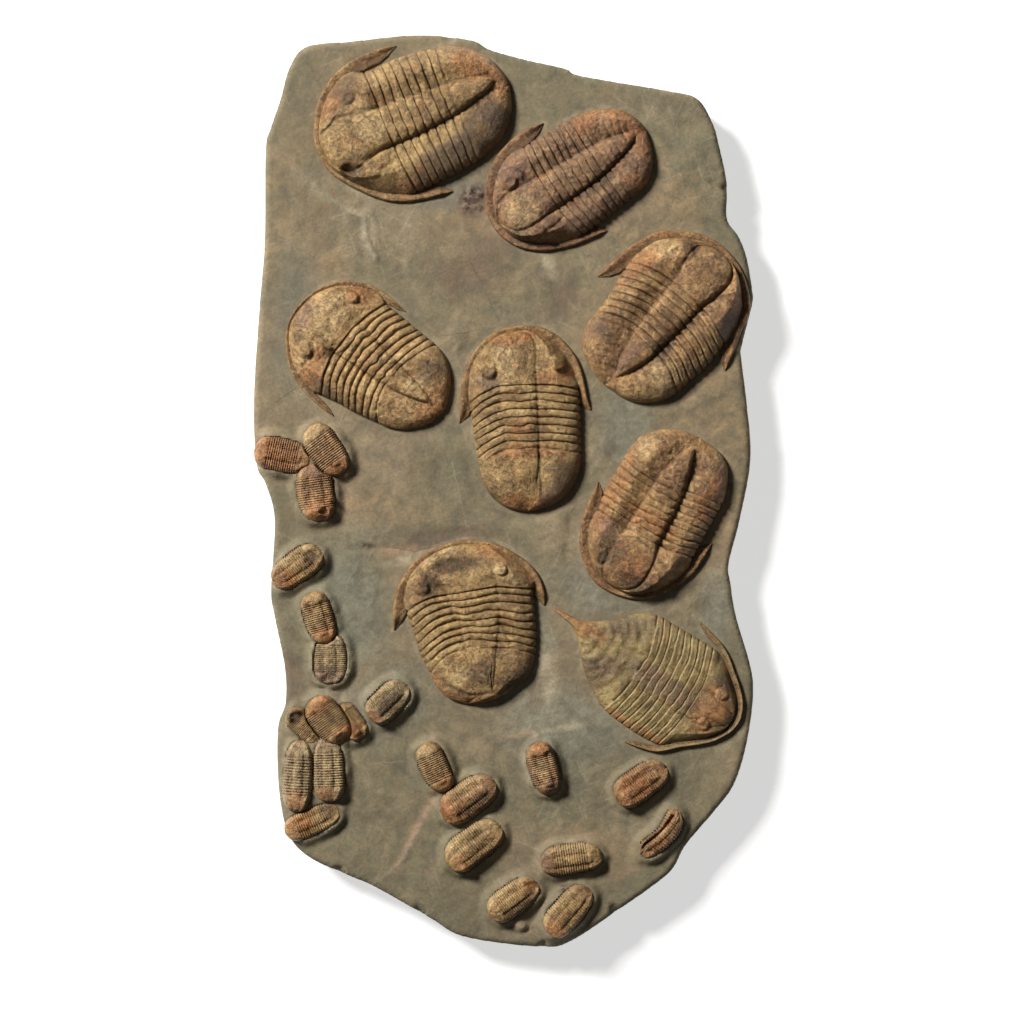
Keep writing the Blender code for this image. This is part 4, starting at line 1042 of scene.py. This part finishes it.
# Tints of the face: kind, x, y, two radii, a turn if any. The dim ones are painted shade: they darken the
# face towards the bottom and in patches elsewhere.
FACE_TINTS = [
    ("crust", -35, 321, 16, 15), ("crust", -150, -60, 12, 5), ("crust", 68, -436, 8, 6),
    ("purple", -35, 318, 22, 18), ("purple", -60, 500, 12, 5), ("purple", -236, -206, 16, 30),
    ("purple", -20, 255, 50, 30, 30), ("purple", 66, 216, 26, 16, 60), ("purple", -60, -52, 60, 10, 5),
    ("warm", -210, 250, 60, 30, 20), ("warm", 180, 320, 40, 50), ("warm", -10, 300, 70, 40),
    ("cool", 140, 60, 30, 60), ("warm", -150, -20, 70, 20), ("warm", 90, -400, 60, 30),
    ("cool", -230, 200, 30, 80), ("cool", 110, -110, 60, 34), ("cool", 70, -260, 80, 44),
    ("cool", -165, -120, 44, 70), ("cool", -120, -230, 60, 40, 20), ("warm", -120, 420, 130, 50),
    ("cool", 10, 120, 30, 30), ("warm", -230, 330, 40, 120), ("warm", 150, 300, 60, 60),
    ("cool", 235, -130, 20, 50), ("cool", -60, 330, 40, 20), ("cool", 30, -150, 30, 40),
    ("pale", -207, 335, 26, 8, -40), ("pale", -150, 285, 9, 30), ("pale", 50, 250, 8, 26, 20),
    ("pink", -100, -380, 6, 60, -28), ("pink", 19, -478, 15, 12), ("pale", 19, -478, 12, 9),
    ("pale", -100, -75, 46, 7, 8), ("pale", 40, -190, 12, 40, 20), ("pale", 60, -262, 40, 4, 10),
    ("pink", 20, -268, 20, 4, 10), ("pale", -175, -265, 8, 30, 10), ("pink", -120, -66, 40, 6, 5),
    # The last tint on this line and the first on the next, both warm, paint light onto the right side.
    ("pink", -70, -290, 9, 26, 20), ("pink", 130, -420, 16, 8, 20), ("warm", 225, 90, 50, 120),
    ("warm", 240, -60, 40, 60), ("painted_shade", -232, 420, 44, 80), ("painted_shade", -215, 320, 40, 70),
    ("painted_shade", 20, -450, 190, 60), ("painted_shade", 170, -330, 60, 60), ("painted_shade", -236, 190, 34, 120),
    ("painted_shade", -225, -20, 40, 60), ("painted_shade", 120, -150, 50, 30), ("painted_shade", -240, -360, 30, 60),
]
TINT_KINDS = ("purple", "warm", "cool", "pale", "pink", "painted_shade", "crust")


def closed_curve(points, steps=8):
    """A smooth closed line through points."""
    wrapped = [np.array(point, float) for point in points[-2:] + points + points[:3]]
    return smooth_curve(wrapped, steps)[2 * steps:(len(points) + 2) * steps]


def fossil_outlines():
    """Outlines on the slab: of the large ones with their rims, and of the small ones."""
    large, rims, small = [], [], []
    for spec in LARGE.values():
        large.append(body_outline(spec))
        outer, inward, width, _ = rim_sides(spec)
        band = np.concatenate([outer[::6], (outer + inward * width[:, None])[::-6]])
        rims.append(np.stack(to_slab(spec, band[:, 0], band[:, 1]), axis=1))
    for *shape, _ in SMALL:
        small.append(body_outline(small_spec(*shape), 10))
    small.append(body_outline(BROKEN, 10))
    return large, rims, small


def nearest_inside(x, y, outlines, reach):
    """Distance into the nearest outline, below zero outside it and -reach where none is near."""
    best = np.full(x.shape, -float(reach))
    for outline in outlines:
        low, high = outline.min(0) - reach, outline.max(0) + reach
        near = (x > low[0]) & (x < high[0]) & (y > low[1]) & (y < high[1])
        if near.any():
            best[near] = np.maximum(best[near], inside_distance(x[near], y[near], outline))
    return best


def face_height(x, y, edge, large, rims, small):
    """Height of the slab's face over its mean, in mm. edge is the distance in from the outline."""
    z = sum(height * rough(x, y, *pattern) for height, *pattern in FACE_SWELLS)
    z += sum(height * (raised - np.abs(rough(x, y, *pattern))) for height, raised, *pattern in FACE_FACETS)
    # The left side slopes down to its edge.
    z -= 3.2 * smooth(34, 4, edge) * smooth(-150, -215, x) * smooth(60, 130, y)
    near_body = nearest_inside(x, y, large, 30)
    near_rim = nearest_inside(x, y, rims, 30)
    near_large = np.maximum(near_body, near_rim)
    near_small = nearest_inside(x, y, small, 16)
    outside = np.minimum(near_large, 0)
    z -= 2.0 * np.exp(-(outside / 7) ** 2) + 2.6 * np.exp(-(outside / 17) ** 2)
    # Deeper between the cheek spines and the body.
    z -= 6 * np.exp(-(np.minimum(near_body, 0) / 8) ** 2) * np.exp(-(np.minimum(near_rim, 0) / 7) ** 2)
    z -= 4.5 * smooth(-0.5, 4, near_large)
    mound = MOUND * (1 + 0.3 * noise(x, y, 14, 9)) * smooth(-MOUND_REACH, 0.5, near_small)
    z += mound * smooth(3, 12, edge)
    for bridge_x, bridge_y, radius, height in BRIDGES:
        away = np.hypot(x - bridge_x, y - bridge_y) / radius + 0.15 * noise(x, y, 6, 18)
        z = np.maximum(z, height * smooth(1.5, 0.4, away))
    z -= (MOUND + 7) * smooth(1.2, 5.5, near_small)
    for points, depth, width in FACE_LINES:
        z -= depth * np.exp(-(line_distance(x, y, points) / width) ** 2)
    z += 5.0 * smooth(1.1, 0.3, oval(x, y, *KNOB))
    z += smooth(1.3, 0.7, oval(x, y, *CRUST)) * (1.6 + 3.0 * noise(x, y, 5.2, 12))
    z -= EDGE_DROP * np.clip(1 - edge / EDGE_REACH, 0, 1) ** 3
    for chip_x, chip_y, radius, depth in CHIPS:
        away = np.hypot(x - chip_x, y - chip_y) / radius + 0.2 * noise(x, y, 5, 14)
        z -= depth * smooth(1.1, 0.4, away)
    return z, near_large, near_small


def face_masks(x, y, near_large, near_small):
    """Tints of the face, with ragged edges, a painted highlight along the fossils' feet, and darker dirt and
    painted shade close to them.
    """
    masks = patches(TINT_KINDS, FACE_TINTS, x, y, 0.55 * rough(x, y, 34, 4, 15), (1.4, 0.3))
    for points, depth, width in FACE_LINES:
        if depth < 0:
            masks["pale"] = np.maximum(masks["pale"], np.exp(-(line_distance(x, y, points) / width) ** 2))
    nearest = np.maximum(near_large, near_small)
    # A painted highlight: a pale line along the fossils' feet, where the light catches them.
    foot = np.exp(-((nearest + 1.6) / 1.7) ** 2) * smooth(-0.3, 0.4, rough(x, y, 40, 2, 24))
    masks["pale"] = np.maximum(masks["pale"], 0.85 * foot)
    # Darker close to the fossils: partly dirt, partly painted shade at their feet.
    masks["dirt_and_shade"] = smooth(-7, 0, nearest)
    return masks


def kept_grid(outline):
    """A square grid's places inside the outline, and its faces, with one plain loop for an edge."""
    low, high = outline.min(0), outline.max(0)
    xs = np.arange(low[0], high[0] + SLAB_CELL, SLAB_CELL)
    ys = np.arange(low[1], high[1] + SLAB_CELL, SLAB_CELL)
    x, y = np.meshgrid(xs, ys)
    keep = nearest_inside(x, y, [outline], 5) > 0.4 * SLAB_CELL
    while True:
        cells = keep[:-1, :-1] & keep[1:, :-1] & keep[:-1, 1:] & keep[1:, 1:]
        around = np.zeros((cells.shape[0] + 2, cells.shape[1] + 2), bool)
        around[1:-1, 1:-1] = cells
        a, b, c, d = around[:-1, :-1], around[:-1, 1:], around[1:, :-1], around[1:, 1:]
        # A corner with two cells across it, or with none left, would break the loop.
        broken = keep & ((a & d & ~b & ~c) | (b & c & ~a & ~d) | ~(a | b | c | d))
        if not broken.any():
            break
        keep &= ~broken
    number = np.cumsum(keep.ravel()).reshape(keep.shape) - 1
    rows, columns = np.nonzero(cells)
    faces = np.stack([number[rows, columns], number[rows, columns + 1], number[rows + 1, columns + 1],
                      number[rows + 1, columns]], axis=1)
    return x[keep], y[keep], faces


def edge_loop(faces):
    """The points round a mesh's open edge, in order."""
    sides = {(int(a), int(b)) for face in faces for a, b in zip(face, np.roll(face, -1))}
    follow = {a: b for a, b in sides if (b, a) not in sides}
    start = next(iter(follow))
    loop = [start]
    while follow[loop[-1]] != start:
        loop.append(follow[loop[-1]])
    return loop


def nearest_on(outline, x, y):
    """The nearest points of a closed outline, and the direction into it there."""
    places = np.stack([x, y], axis=1)
    best = np.full(len(x), 1e9)
    found = np.zeros((len(x), 2))
    inward = np.zeros((len(x), 2))
    for (ax, ay), (dx, dy) in zip(outline, np.roll(outline, -1, axis=0) - outline):
        length = dx * dx + dy * dy
        if length < 1e-9:
            continue
        t = np.clip(((x - ax) * dx + (y - ay) * dy) / length, 0, 1)
        point = np.stack([ax + t * dx, ay + t * dy], axis=1)
        away = np.linalg.norm(places - point, axis=1)
        closer = away < best
        best[closer] = away[closer]
        found[closer] = point[closer]
        inward[closer] = np.array([dy, -dx]) / math.sqrt(length)
    return found, inward


def slab_sides(foot, inward, top):
    """Rings of points down the slab's sides, where beds in the stone stand out or are worn back."""
    run = run_along(foot)
    rings = []
    for ring in range(SIDE_RINGS):
        share = ring / (SIDE_RINGS - 1)
        level = top * (1 - share)
        beds = 2.0 * noise(run, level * 7, 60, 16) + 1.8 * rough(run, level * 2.2, 17, 3, 17)
        beds += 1.0 * noise(run * 0.3, level * 4, 14, 19)
        inset = 0.15 + smooth(0, 0.3, share) * np.clip(2.4 + beds + 1.2 * share, 0, 8)
        rings.append(np.column_stack([foot + inward * inset[:, None], level]))
    return rings


def slab():
    """The slab of mudstone: an uneven face, worn edges, rough broken sides and a flat back."""
    low, high = (np.array(corner[:2]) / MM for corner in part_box("matrix_slab"))
    outline = np.clip(closed_curve(SLAB_OUTLINE), low, high)
    x, y, faces = kept_grid(outline)
    loop = edge_loop(faces)
    edge = nearest_inside(x, y, [outline], 400)
    z, near_large, near_small = face_height(x, y, edge, *fossil_outlines())
    foot, inward = nearest_on(outline, x[loop], y[loop])
    sides = slab_sides(foot, inward, FACE + z[loop] - 0.45 * EDGE_DROP)

    count = len(loop)
    rings = [loop] + [[len(x) + ring * count + step for step in range(count)] for ring in range(SIDE_RINGS)]
    faces = faces.tolist()
    for ring, below in zip(rings, rings[1:]):
        for step in range(count):
            after = (step + 1) % count
            faces.append([ring[after], ring[step], below[step], below[after]])
    faces.append(rings[-1])

    masks = face_masks(x, y, near_large, near_small)
    masks = {name: np.concatenate([values] + [values[loop]] * SIDE_RINGS) for name, values in masks.items()}
    masks["side"] = np.concatenate([np.zeros(len(x) + count), np.ones(count * (SIDE_RINGS - 1))])
    points = np.concatenate([np.stack([x, y, FACE + z], axis=1)] + sides)
    piece = finished_piece("matrix_slab_stone", points, faces, masks)
    piece.data.set_sharp_from_angle(angle=math.radians(60))
    return piece


def add(tree, kind, inputs=None, **settings):
    """A new shader node, with its inputs set or linked."""
    item = tree.nodes.new("ShaderNode" + kind)
    for name, value in settings.items():
        setattr(item, name, value)
    for socket, value in (inputs or {}).items():
        if isinstance(value, bpy.types.NodeSocket):
            tree.links.new(value, item.inputs[socket])
        else:
            item.inputs[socket].default_value = value
    return item


def texture(tree, place, size, detail=4.0, roughness=0.6, distortion=0.0):
    """Noise with lumps of a size in mm."""
    return add(tree, "TexNoise", {"Vector": place, "Scale": 0.5 / (size * MM), "Detail": detail,
                                  "Roughness": roughness, "Distortion": distortion}).outputs["Fac"]


def between(tree, value, low, high, start=0.0, end=1.0):
    """A value mapped from low..high to start..end and held there."""
    return add(tree, "MapRange", {"Value": value, "From Min": low, "From Max": high,
                                  "To Min": start, "To Max": end}).outputs["Result"]


def blend(tree, share, first, second, mode="MIX"):
    """Two colours mixed by a share."""
    item = add(tree, "Mix", data_type="RGBA", blend_type=mode)
    for socket, value in ((0, share), (6, first), (7, second)):
        if isinstance(value, bpy.types.NodeSocket):
            tree.links.new(value, item.inputs[socket])
        else:
            item.inputs[socket].default_value = value if socket == 0 else (*value, 1.0)
    return item.outputs[2]


def times(tree, first, *others):
    """Values multiplied."""
    for other in others:
        first = add(tree, "Math", {0: first, 1: other}, operation="MULTIPLY").outputs[0]
    return first


def plus(tree, first, second):
    """Two values added."""
    return add(tree, "Math", {0: first, 1: second}, operation="ADD").outputs[0]


def vector(tree, operation, inputs, output=0):
    """A sum or product of vectors. A single number comes out of output 1."""
    return add(tree, "VectorMath", inputs, operation=operation).outputs[output]


def toned(tree, colour, value, dark, light, share=1.0, low=0.38, high=0.62):
    """A colour multiplied by a grey that follows a value."""
    return blend(tree, share, colour, blend(tree, between(tree, value, low, high), dark, light), "MULTIPLY")


def mask(tree, name):
    """One of the masks that the mesh carries."""
    return add(tree, "Attribute", attribute_name=name, attribute_type="GEOMETRY").outputs["Fac"]


def tinted(tree, colour, tints, ragged):
    """A colour with its patches: the kind of mask, the tint and its strength."""
    for kind, tint, strength in tints:
        colour = blend(tree, times(tree, mask(tree, kind), ragged, strength), colour, tint)
    return colour


def new_material(name):
    """An empty material, its shader and the place on the object that its patterns read."""
    material = bpy.data.materials.new(name)
    material.use_nodes = True
    tree = material.node_tree
    place = add(tree, "TexCoord").outputs["Object"]
    return material, tree, tree.nodes["Principled BSDF"], place


def bump(tree, shader, heights):
    """Fine relief from several patterns: each is a value, its depth in mm and its strength."""
    normal = None
    for value, depth, strength in heights:
        inputs = {"Height": value, "Distance": depth * MM, "Strength": strength}
        if normal is not None:
            inputs["Normal"] = normal
        normal = add(tree, "Bump", inputs).outputs["Normal"]
    tree.links.new(normal, shader.inputs["Normal"])


RUST = (0.36, 0.130, 0.036)
CREAM = (0.56, 0.41, 0.20)
SHELL_TINTS = [("cream", CREAM, 0.55), ("rust", RUST, 0.6), ("purple", (0.115, 0.062, 0.055), 0.65),
               ("dark", (0.052, 0.029, 0.014), 0.85)]
CRACK = (0.060, 0.032, 0.015)
# The colour of the painted highlight on the lips and crests.
RIDGE_HIGHLIGHT = (0.60, 0.46, 0.24)
# The colour of the painted shade in the grooves and hollows.
HOLLOW_SHADE = (0.050, 0.027, 0.012)
DUST = (0.27, 0.215, 0.135)


def fine_cracks(tree, place):
    """A net of bent cracks, 1 on them and 0 beside them."""
    bend = add(tree, "TexNoise", {"Vector": place, "Scale": 160.0, "Detail": 3.0}).outputs["Color"]
    bent = vector(tree, "ADD", {0: place, 1: vector(tree, "SCALE", {0: bend, "Scale": 0.007})})
    cells = add(tree, "TexVoronoi", {"Vector": bent, "Scale": 62.0}, feature="DISTANCE_TO_EDGE")
    return between(tree, cells.outputs["Distance"], 0.07, 0.0)


def shell_material(name, base, second, third, cover, grain_share=1.0):
    """Fossil shell: two main browns in blotches, a third in specks, patches of rust, purple, dark
    brown and cream, painted shade in the grooves and hollows, painted highlights on the lips and
    crests, and a share of pale matrix left on the flanks."""
    material, tree, shader, place = new_material(name)
    broad = texture(tree, place, 26, 6, 0.7, 0.6)
    medium = texture(tree, place, 7, 6, 0.74, 0.4)
    fine = texture(tree, place, 2.0, 5, 0.75)
    grain = texture(tree, place, 0.8, 3, 0.7)
    colour = blend(tree, between(tree, broad, 0.42, 0.58), base, second)
    colour = blend(tree, times(tree, between(tree, medium, 0.50, 0.62), 0.5), colour, third)
    colour = tinted(tree, colour, SHELL_TINTS, between(tree, medium, 0.34, 0.60, 0.55, 1.0))
    # Fine cracks in places.
    cracks = times(tree, fine_cracks(tree, place), between(tree, broad, 0.47, 0.56))
    colour = blend(tree, times(tree, cracks, 0.62 * grain_share), colour, CRACK)
    # Specks of rust and of pale mineral all over.
    specks = texture(tree, place, 4.5, 5, 0.65, 1.0)
    colour = blend(tree, times(tree, between(tree, specks, 0.55, 0.62), 0.38), colour, RUST)
    colour = blend(tree, times(tree, between(tree, specks, 0.42, 0.36), 0.26), colour, CREAM)
    colour = toned(tree, colour, medium, (0.76, 0.75, 0.74), (1.14, 1.14, 1.13), high=0.60)
    colour = toned(tree, colour, fine, (0.57, 0.55, 0.52), (1.40, 1.40, 1.38), grain_share)
    # Painted highlights along the segments' back edges and on the tail ribs' crests.
    highlights = times(tree, mask(tree, "ridge"), between(tree, medium, 0.38, 0.58, 0.1, 0.5))
    colour = blend(tree, highlights, colour, RIDGE_HIGHLIGHT)
    # Painted shade in the grooves, furrows, cracks and pits.
    colour = blend(tree, times(tree, mask(tree, "hollow"), 0.62), colour, HOLLOW_SHADE)
    dusty = times(tree, mask(tree, "flank"), between(tree, medium, 0.35, 0.6, 0.2, cover))
    colour = blend(tree, dusty, colour, DUST)
    tree.links.new(colour, shader.inputs["Base Color"])
    tree.links.new(between(tree, medium, 0.3, 0.7, 0.28, 0.56), shader.inputs["Roughness"])
    shader.inputs["Specular IOR Level"].default_value = 0.5
    bump(tree, shader, [(medium, 2.6 * grain_share, 0.8), (fine, 2.2 * grain_share, 1.0), (grain, 0.8, 0.9)])
    return material


# Hairlines on the slab's face: points in mm, half width, and whether they are dark or pale.
HAIRLINES = [
    ([(-36, 252), (-15, 210), (-4, 186)], 0.55, "dark"),
    ([(101, -367), (112, -382), (128, -386), (150, -395)], 0.6, "dark"),
    ([(216, -301), (229, -329)], 0.5, "pale"),
    ([(-252, 96), (-228, 113)], 0.5, "dark"),
    ([(-74, 170), (-8, 179)], 0.6, "dark"),
    ([(-57, 37), (-40, -40)], 0.5, "pale"),
    ([(-134, -428), (-112, -406), (-84, -350)], 0.8, "pink"),
    ([(-170, -64), (-128, -61), (-97, -66), (-62, -58)], 0.5, "dark"),
    ([(-216, 228), (-186, 240), (-170, 243)], 0.5, "dark"),
    ([(-80, -165), (-68, -200)], 0.45, "pale"),
    ([(-150, -300), (-110, -297)], 0.5, "pale"),
    ([(-45, -255), (-60, -310)], 0.45, "pink"),
]
HAIRLINE_LOOKS = {"dark": ((0.085, 0.065, 0.045), 0.55), "pale": ((0.40, 0.36, 0.27), 0.28),
                  "pink": ((0.34, 0.21, 0.15), 0.28)}


def line_mask(tree, place, points, half_width):
    """1 on a line through points of the face, 0 beside it."""
    nearest = None
    for (ax, ay), (bx, by) in zip(points, points[1:]):
        start = (ax * MM, ay * MM, 0)
        step = ((bx - ax) * MM, (by - ay) * MM, 0)
        length = step[0] ** 2 + step[1] ** 2
        from_start = vector(tree, "SUBTRACT", {0: place, 1: start})
        dot = vector(tree, "DOT_PRODUCT", {0: from_start, 1: step}, 1)
        share = add(tree, "Math", {0: dot, 1: 1 / length}, operation="MULTIPLY", use_clamp=True).outputs[0]
        along = vector(tree, "SCALE", {0: step, "Scale": share})
        away = vector(tree, "DISTANCE", {0: from_start, 1: along}, 1)
        if nearest is None:
            nearest = away
        else:
            nearest = add(tree, "Math", {0: nearest, 1: away}, operation="MINIMUM").outputs[0]
    return between(tree, nearest, half_width * 1.6 * MM, half_width * 0.4 * MM)


# The dim tint's colour is painted shade.
MATRIX_TINTS = [("warm", (0.29, 0.200, 0.112), 0.6), ("cool", (0.190, 0.197, 0.152), 0.8),
                ("purple", (0.13, 0.085, 0.065), 0.75), ("pale", (0.42, 0.36, 0.25), 0.6),
                ("pink", (0.36, 0.23, 0.15), 0.6), ("painted_shade", (0.115, 0.102, 0.064), 0.58)]


def mapped(tree, place, **inputs):
    """A place moved, turned or stretched before a pattern reads it."""
    kind = "TEXTURE" if "Rotation" in inputs else "POINT"
    return add(tree, "Mapping", {"Vector": place, **inputs}, vector_type=kind).outputs[0]


def brush_strokes(tree, place):
    """Broad strokes of the brush that cleaned the face, each patch in a direction of its own."""
    strokes = None
    for turn, offset in ((0.5, 0.0), (1.5, 0.7), (2.5, 1.9)):
        turned = mapped(tree, place, Rotation=(0, 0, turn), Location=(offset, 0, 0), Scale=(1, 1 / 4, 1))
        moved = mapped(tree, place, Location=(offset, offset, 0))
        here = between(tree, texture(tree, moved, 75, 2, 0.5), 0.44, 0.56)
        stroke = between(tree, texture(tree, turned, 46, 4, 0.62, 0.8), 0.38, 0.62, -1.0, 1.0)
        stroke = times(tree, stroke, here)
        strokes = stroke if strokes is None else plus(tree, strokes, stroke)
    return strokes


def tool_scratches(tree, place):
    """Scratches of the preparing tools in patches: noise drawn out along four directions."""
    scratches = None
    for turn, scale in ((0.3, 1.0), (1.1, 0.8), (1.9, 1.1), (2.7, 0.9)):
        turned = mapped(tree, place, Rotation=(0, 0, turn), Scale=(1 / scale, 1 / (14 * scale), 1))
        lines = between(tree, texture(tree, turned, 34, 4, 0.75, 0.25), 0.57, 0.70)
        scratches = lines if scratches is None else plus(tree, scratches, lines)
    return times(tree, scratches, between(tree, texture(tree, place, 60, 3, 0.5), 0.50, 0.58))


def with_hairlines(tree, colour, place):
    """The colour with its hairlines, which wander a little and are broken in places."""
    drift = add(tree, "TexNoise", {"Vector": place, "Scale": 90.0, "Detail": 3.0}).outputs["Color"]
    drift = vector(tree, "SUBTRACT", {0: drift, 1: (0.5, 0.5, 0.5)})
    wandering = vector(tree, "ADD", {0: place, 1: vector(tree, "SCALE", {0: drift, "Scale": 0.006})})
    flat = vector(tree, "MULTIPLY", {0: wandering, 1: (1, 1, 0)})
    broken = between(tree, texture(tree, place, 14, 2, 0.5), 0.42, 0.55, 0.15, 1.0)
    for points, half_width, kind in HAIRLINES:
        tint, strength = HAIRLINE_LOOKS[kind]
        line = times(tree, line_mask(tree, flat, points, half_width), broken, strength)
        colour = blend(tree, line, colour, tint)
    return colour


def matrix_material():
    """Mudstone: sage grey-green with tan and grey smears, fine tool scratches and hairlines."""
    material, tree, shader, place = new_material("mudstone")
    broad = texture(tree, place, 110, 5, 0.6, 0.8)
    middle = texture(tree, place, 34, 6, 0.62, 0.9)
    small = texture(tree, place, 8, 5, 0.66, 0.5)
    fine = texture(tree, place, 1.6, 4, 0.75)
    colour = blend(tree, between(tree, broad, 0.40, 0.60), (0.170, 0.149, 0.092), (0.214, 0.169, 0.103))
    colour = blend(tree, between(tree, middle, 0.53, 0.62, 0.0, 0.42), colour, (0.285, 0.222, 0.142))
    colour = blend(tree, between(tree, middle, 0.45, 0.37, 0.0, 0.5), colour, (0.135, 0.124, 0.082))
    colour = tinted(tree, colour, MATRIX_TINTS, between(tree, small, 0.3, 0.65, 0.25, 1.0))
    dark_grains = between(tree, texture(tree, place, 2.6, 3, 0.6), 0.44, 0.50)
    colour = tinted(tree, colour, [("crust", (0.060, 0.030, 0.028), 0.85)], dark_grains)
    strokes = brush_strokes(tree, place)
    colour = toned(tree, colour, strokes, (0.91, 0.915, 0.92), (1.09, 1.085, 1.07), low=-1.2, high=1.2)
    scratches = tool_scratches(tree, place)
    colour = blend(tree, times(tree, scratches, 0.22), colour, (0.42, 0.37, 0.27))
    colour = toned(tree, colour, small, (0.84, 0.84, 0.86), (1.14, 1.12, 1.09))
    colour = toned(tree, colour, fine, (0.88, 0.88, 0.88), (1.10, 1.10, 1.10))
    flecks = between(tree, texture(tree, place, 3.2, 2, 0.5), 0.70, 0.75)
    colour = blend(tree, times(tree, flecks, 0.5), colour, (0.28, 0.13, 0.07))
    # Darker close to the fossils: partly dirt, partly painted shade.
    colour = blend(tree, times(tree, mask(tree, "dirt_and_shade"), 0.2), colour, (0.16, 0.125, 0.075))
    colour = with_hairlines(tree, colour, place)
    # The broken sides show the stone's thin beds.
    side = mask(tree, "side")
    layers = times(tree, texture(tree, mapped(tree, place, Scale=(1, 1, 7)), 16, 5, 0.7, 0.4), side)
    colour = blend(tree, times(tree, side, 0.35), colour, (0.15, 0.13, 0.085))
    colour = toned(tree, colour, layers, (0.62, 0.61, 0.60), (1.25, 1.22, 1.15), side)
    tree.links.new(colour, shader.inputs["Base Color"])
    tree.links.new(between(tree, small, 0.3, 0.7, 0.72, 0.9), shader.inputs["Roughness"])
    shader.inputs["Specular IOR Level"].default_value = 0.3
    bump(tree, shader, [(middle, 3.0, 0.5), (small, 1.5, 0.5), (fine, 0.45, 0.6), (scratches, 0.12, 0.6),
                        (layers, 2.2, 0.7)])
    return material


# Each finish: three browns, how much pale matrix is left on the flanks, and the grain's strength.
SHELLS = {
    "shell_ochre": ((0.375, 0.245, 0.096), (0.255, 0.152, 0.058), (0.48, 0.335, 0.155), 0.12),
    "shell_purple_brown": ((0.305, 0.178, 0.084), (0.190, 0.102, 0.056), (0.38, 0.24, 0.125), 0.12),
    "shell_dark_brown": ((0.37, 0.218, 0.086), (0.24, 0.128, 0.052), (0.48, 0.32, 0.15), 0.12),
    "shell_golden": ((0.44, 0.280, 0.115), (0.30, 0.178, 0.070), (0.56, 0.39, 0.20), 0.12),
    "shell_olive": ((0.300, 0.225, 0.088), (0.215, 0.150, 0.060), (0.38, 0.29, 0.120), 0.10, 0.6),
    "small_shell_rusty": ((0.36, 0.205, 0.090), (0.24, 0.126, 0.054), (0.48, 0.31, 0.15), 0.6, 0.75),
    "small_shell_brown": ((0.35, 0.222, 0.090), (0.24, 0.140, 0.054), (0.46, 0.31, 0.14), 0.6, 0.75),
    "small_shell_grey": ((0.31, 0.232, 0.125), (0.23, 0.158, 0.078), (0.41, 0.32, 0.18), 0.6, 0.75),
}


def light(name, place, target, size, power, colour):
    """A square studio light turned to a target. Lengths in metres."""
    data = bpy.data.lights.new(name, "AREA")
    data.shape = "SQUARE"
    data.size = size
    data.energy = power
    data.color = colour
    item = bpy.data.objects.new(name, data)
    item.location = place
    item.rotation_euler = (Vector(target) - Vector(place)).to_track_quat("-Z", "Y").to_euler()
    bpy.context.scene.collection.objects.link(item)


PHOTO_WIDTH = 1126.4         # what the photograph's width takes in at the slab's face
PHOTO_CENTRE = (9.35, -23.1)
LENS = 100.0
SENSOR = 36.0


def camera():
    """Straight over the plate, with +Y up in the picture."""
    data = bpy.data.cameras.new("camera")
    data.lens = LENS
    data.sensor_width = SENSOR
    data.clip_end = 50
    item = bpy.data.objects.new("camera", data)
    height = FACE + PHOTO_WIDTH * LENS / SENSOR
    item.location = (PHOTO_CENTRE[0] * MM, PHOTO_CENTRE[1] * MM, height * MM)
    bpy.context.scene.collection.objects.link(item)
    bpy.context.scene.camera = item


FLOOR = 6                    # half the floor's width, in metres as everything in the studio
FLOOR_LEVEL = -0.0005        # just under the slab, so that the two don't coincide
FLOOR_GLOW = 0.61            # keeps the floor pale away from the shadow
KEY_PLACE = (-4.2, 3.5, 3.9)
KEY_SIZE = 1.4
KEY_POWER = 880
FILL = 0.07


def studio():
    """A pale floor, a soft key light low on the upper left, and an even fill from all round."""
    corners = [(x * FLOOR, y * FLOOR, FLOOR_LEVEL) for x, y in ((-1, -1), (1, -1), (1, 1), (-1, 1))]
    data = bpy.data.meshes.new("floor")
    data.from_pydata(corners, [], [(0, 1, 2, 3)])
    floor = bpy.data.objects.new("floor", data)
    material, _, shader, _ = new_material("floor")
    shader.inputs["Base Color"].default_value = (0.62, 0.62, 0.62, 1)
    shader.inputs["Roughness"].default_value = 0.9
    shader.inputs["Emission Color"].default_value = (1, 1, 1, 1)
    shader.inputs["Emission Strength"].default_value = FLOOR_GLOW
    data.materials.append(material)
    bpy.context.scene.collection.objects.link(floor)
    light("key", KEY_PLACE, (0, 0, 0), KEY_SIZE, KEY_POWER, (1.0, 0.97, 0.93))
    world = bpy.data.worlds.new("studio")
    world.use_nodes = True
    world.node_tree.nodes["Background"].inputs["Color"].default_value = (0.96, 0.98, 1.0, 1)
    world.node_tree.nodes["Background"].inputs["Strength"].default_value = FILL
    bpy.context.scene.world = world
    bpy.context.scene.view_settings.view_transform = "Standard"


def place_piece(piece, node, material):
    """Gives a piece its finish and ties it to the solid that it stands for."""
    piece.data.materials.append(material)
    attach(piece, "root")
    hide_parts(node)


def main():
    """Sets up the picture, and dresses every node of the plate."""
    camera()
    studio()
    place_piece(slab(), "matrix_slab", matrix_material())
    materials = {slot: shell_material(slot, *look) for slot, look in SHELLS.items()}
    slot_of = {name: slot for slot, names in LARGE_SLOTS.items() for name in names}
    slot_of.update({small_name(number): slot for slot, numbers in SMALL_SLOTS.items() for number in numbers})
    specs = dict(LARGE)
    covers = {}
    for number, (*shape, over) in enumerate(SMALL, 1):
        specs[small_name(number)] = small_spec(*shape)
        covers[small_name(number)] = over
    specs["broken_trilobite"] = BROKEN
    for name, spec in specs.items():
        slot = slot_of[name]
        above = [specs[small_name(number)] for number in covers.get(name, ())]
        place_piece(trilobite(name, spec, above), name, materials[slot])


main()
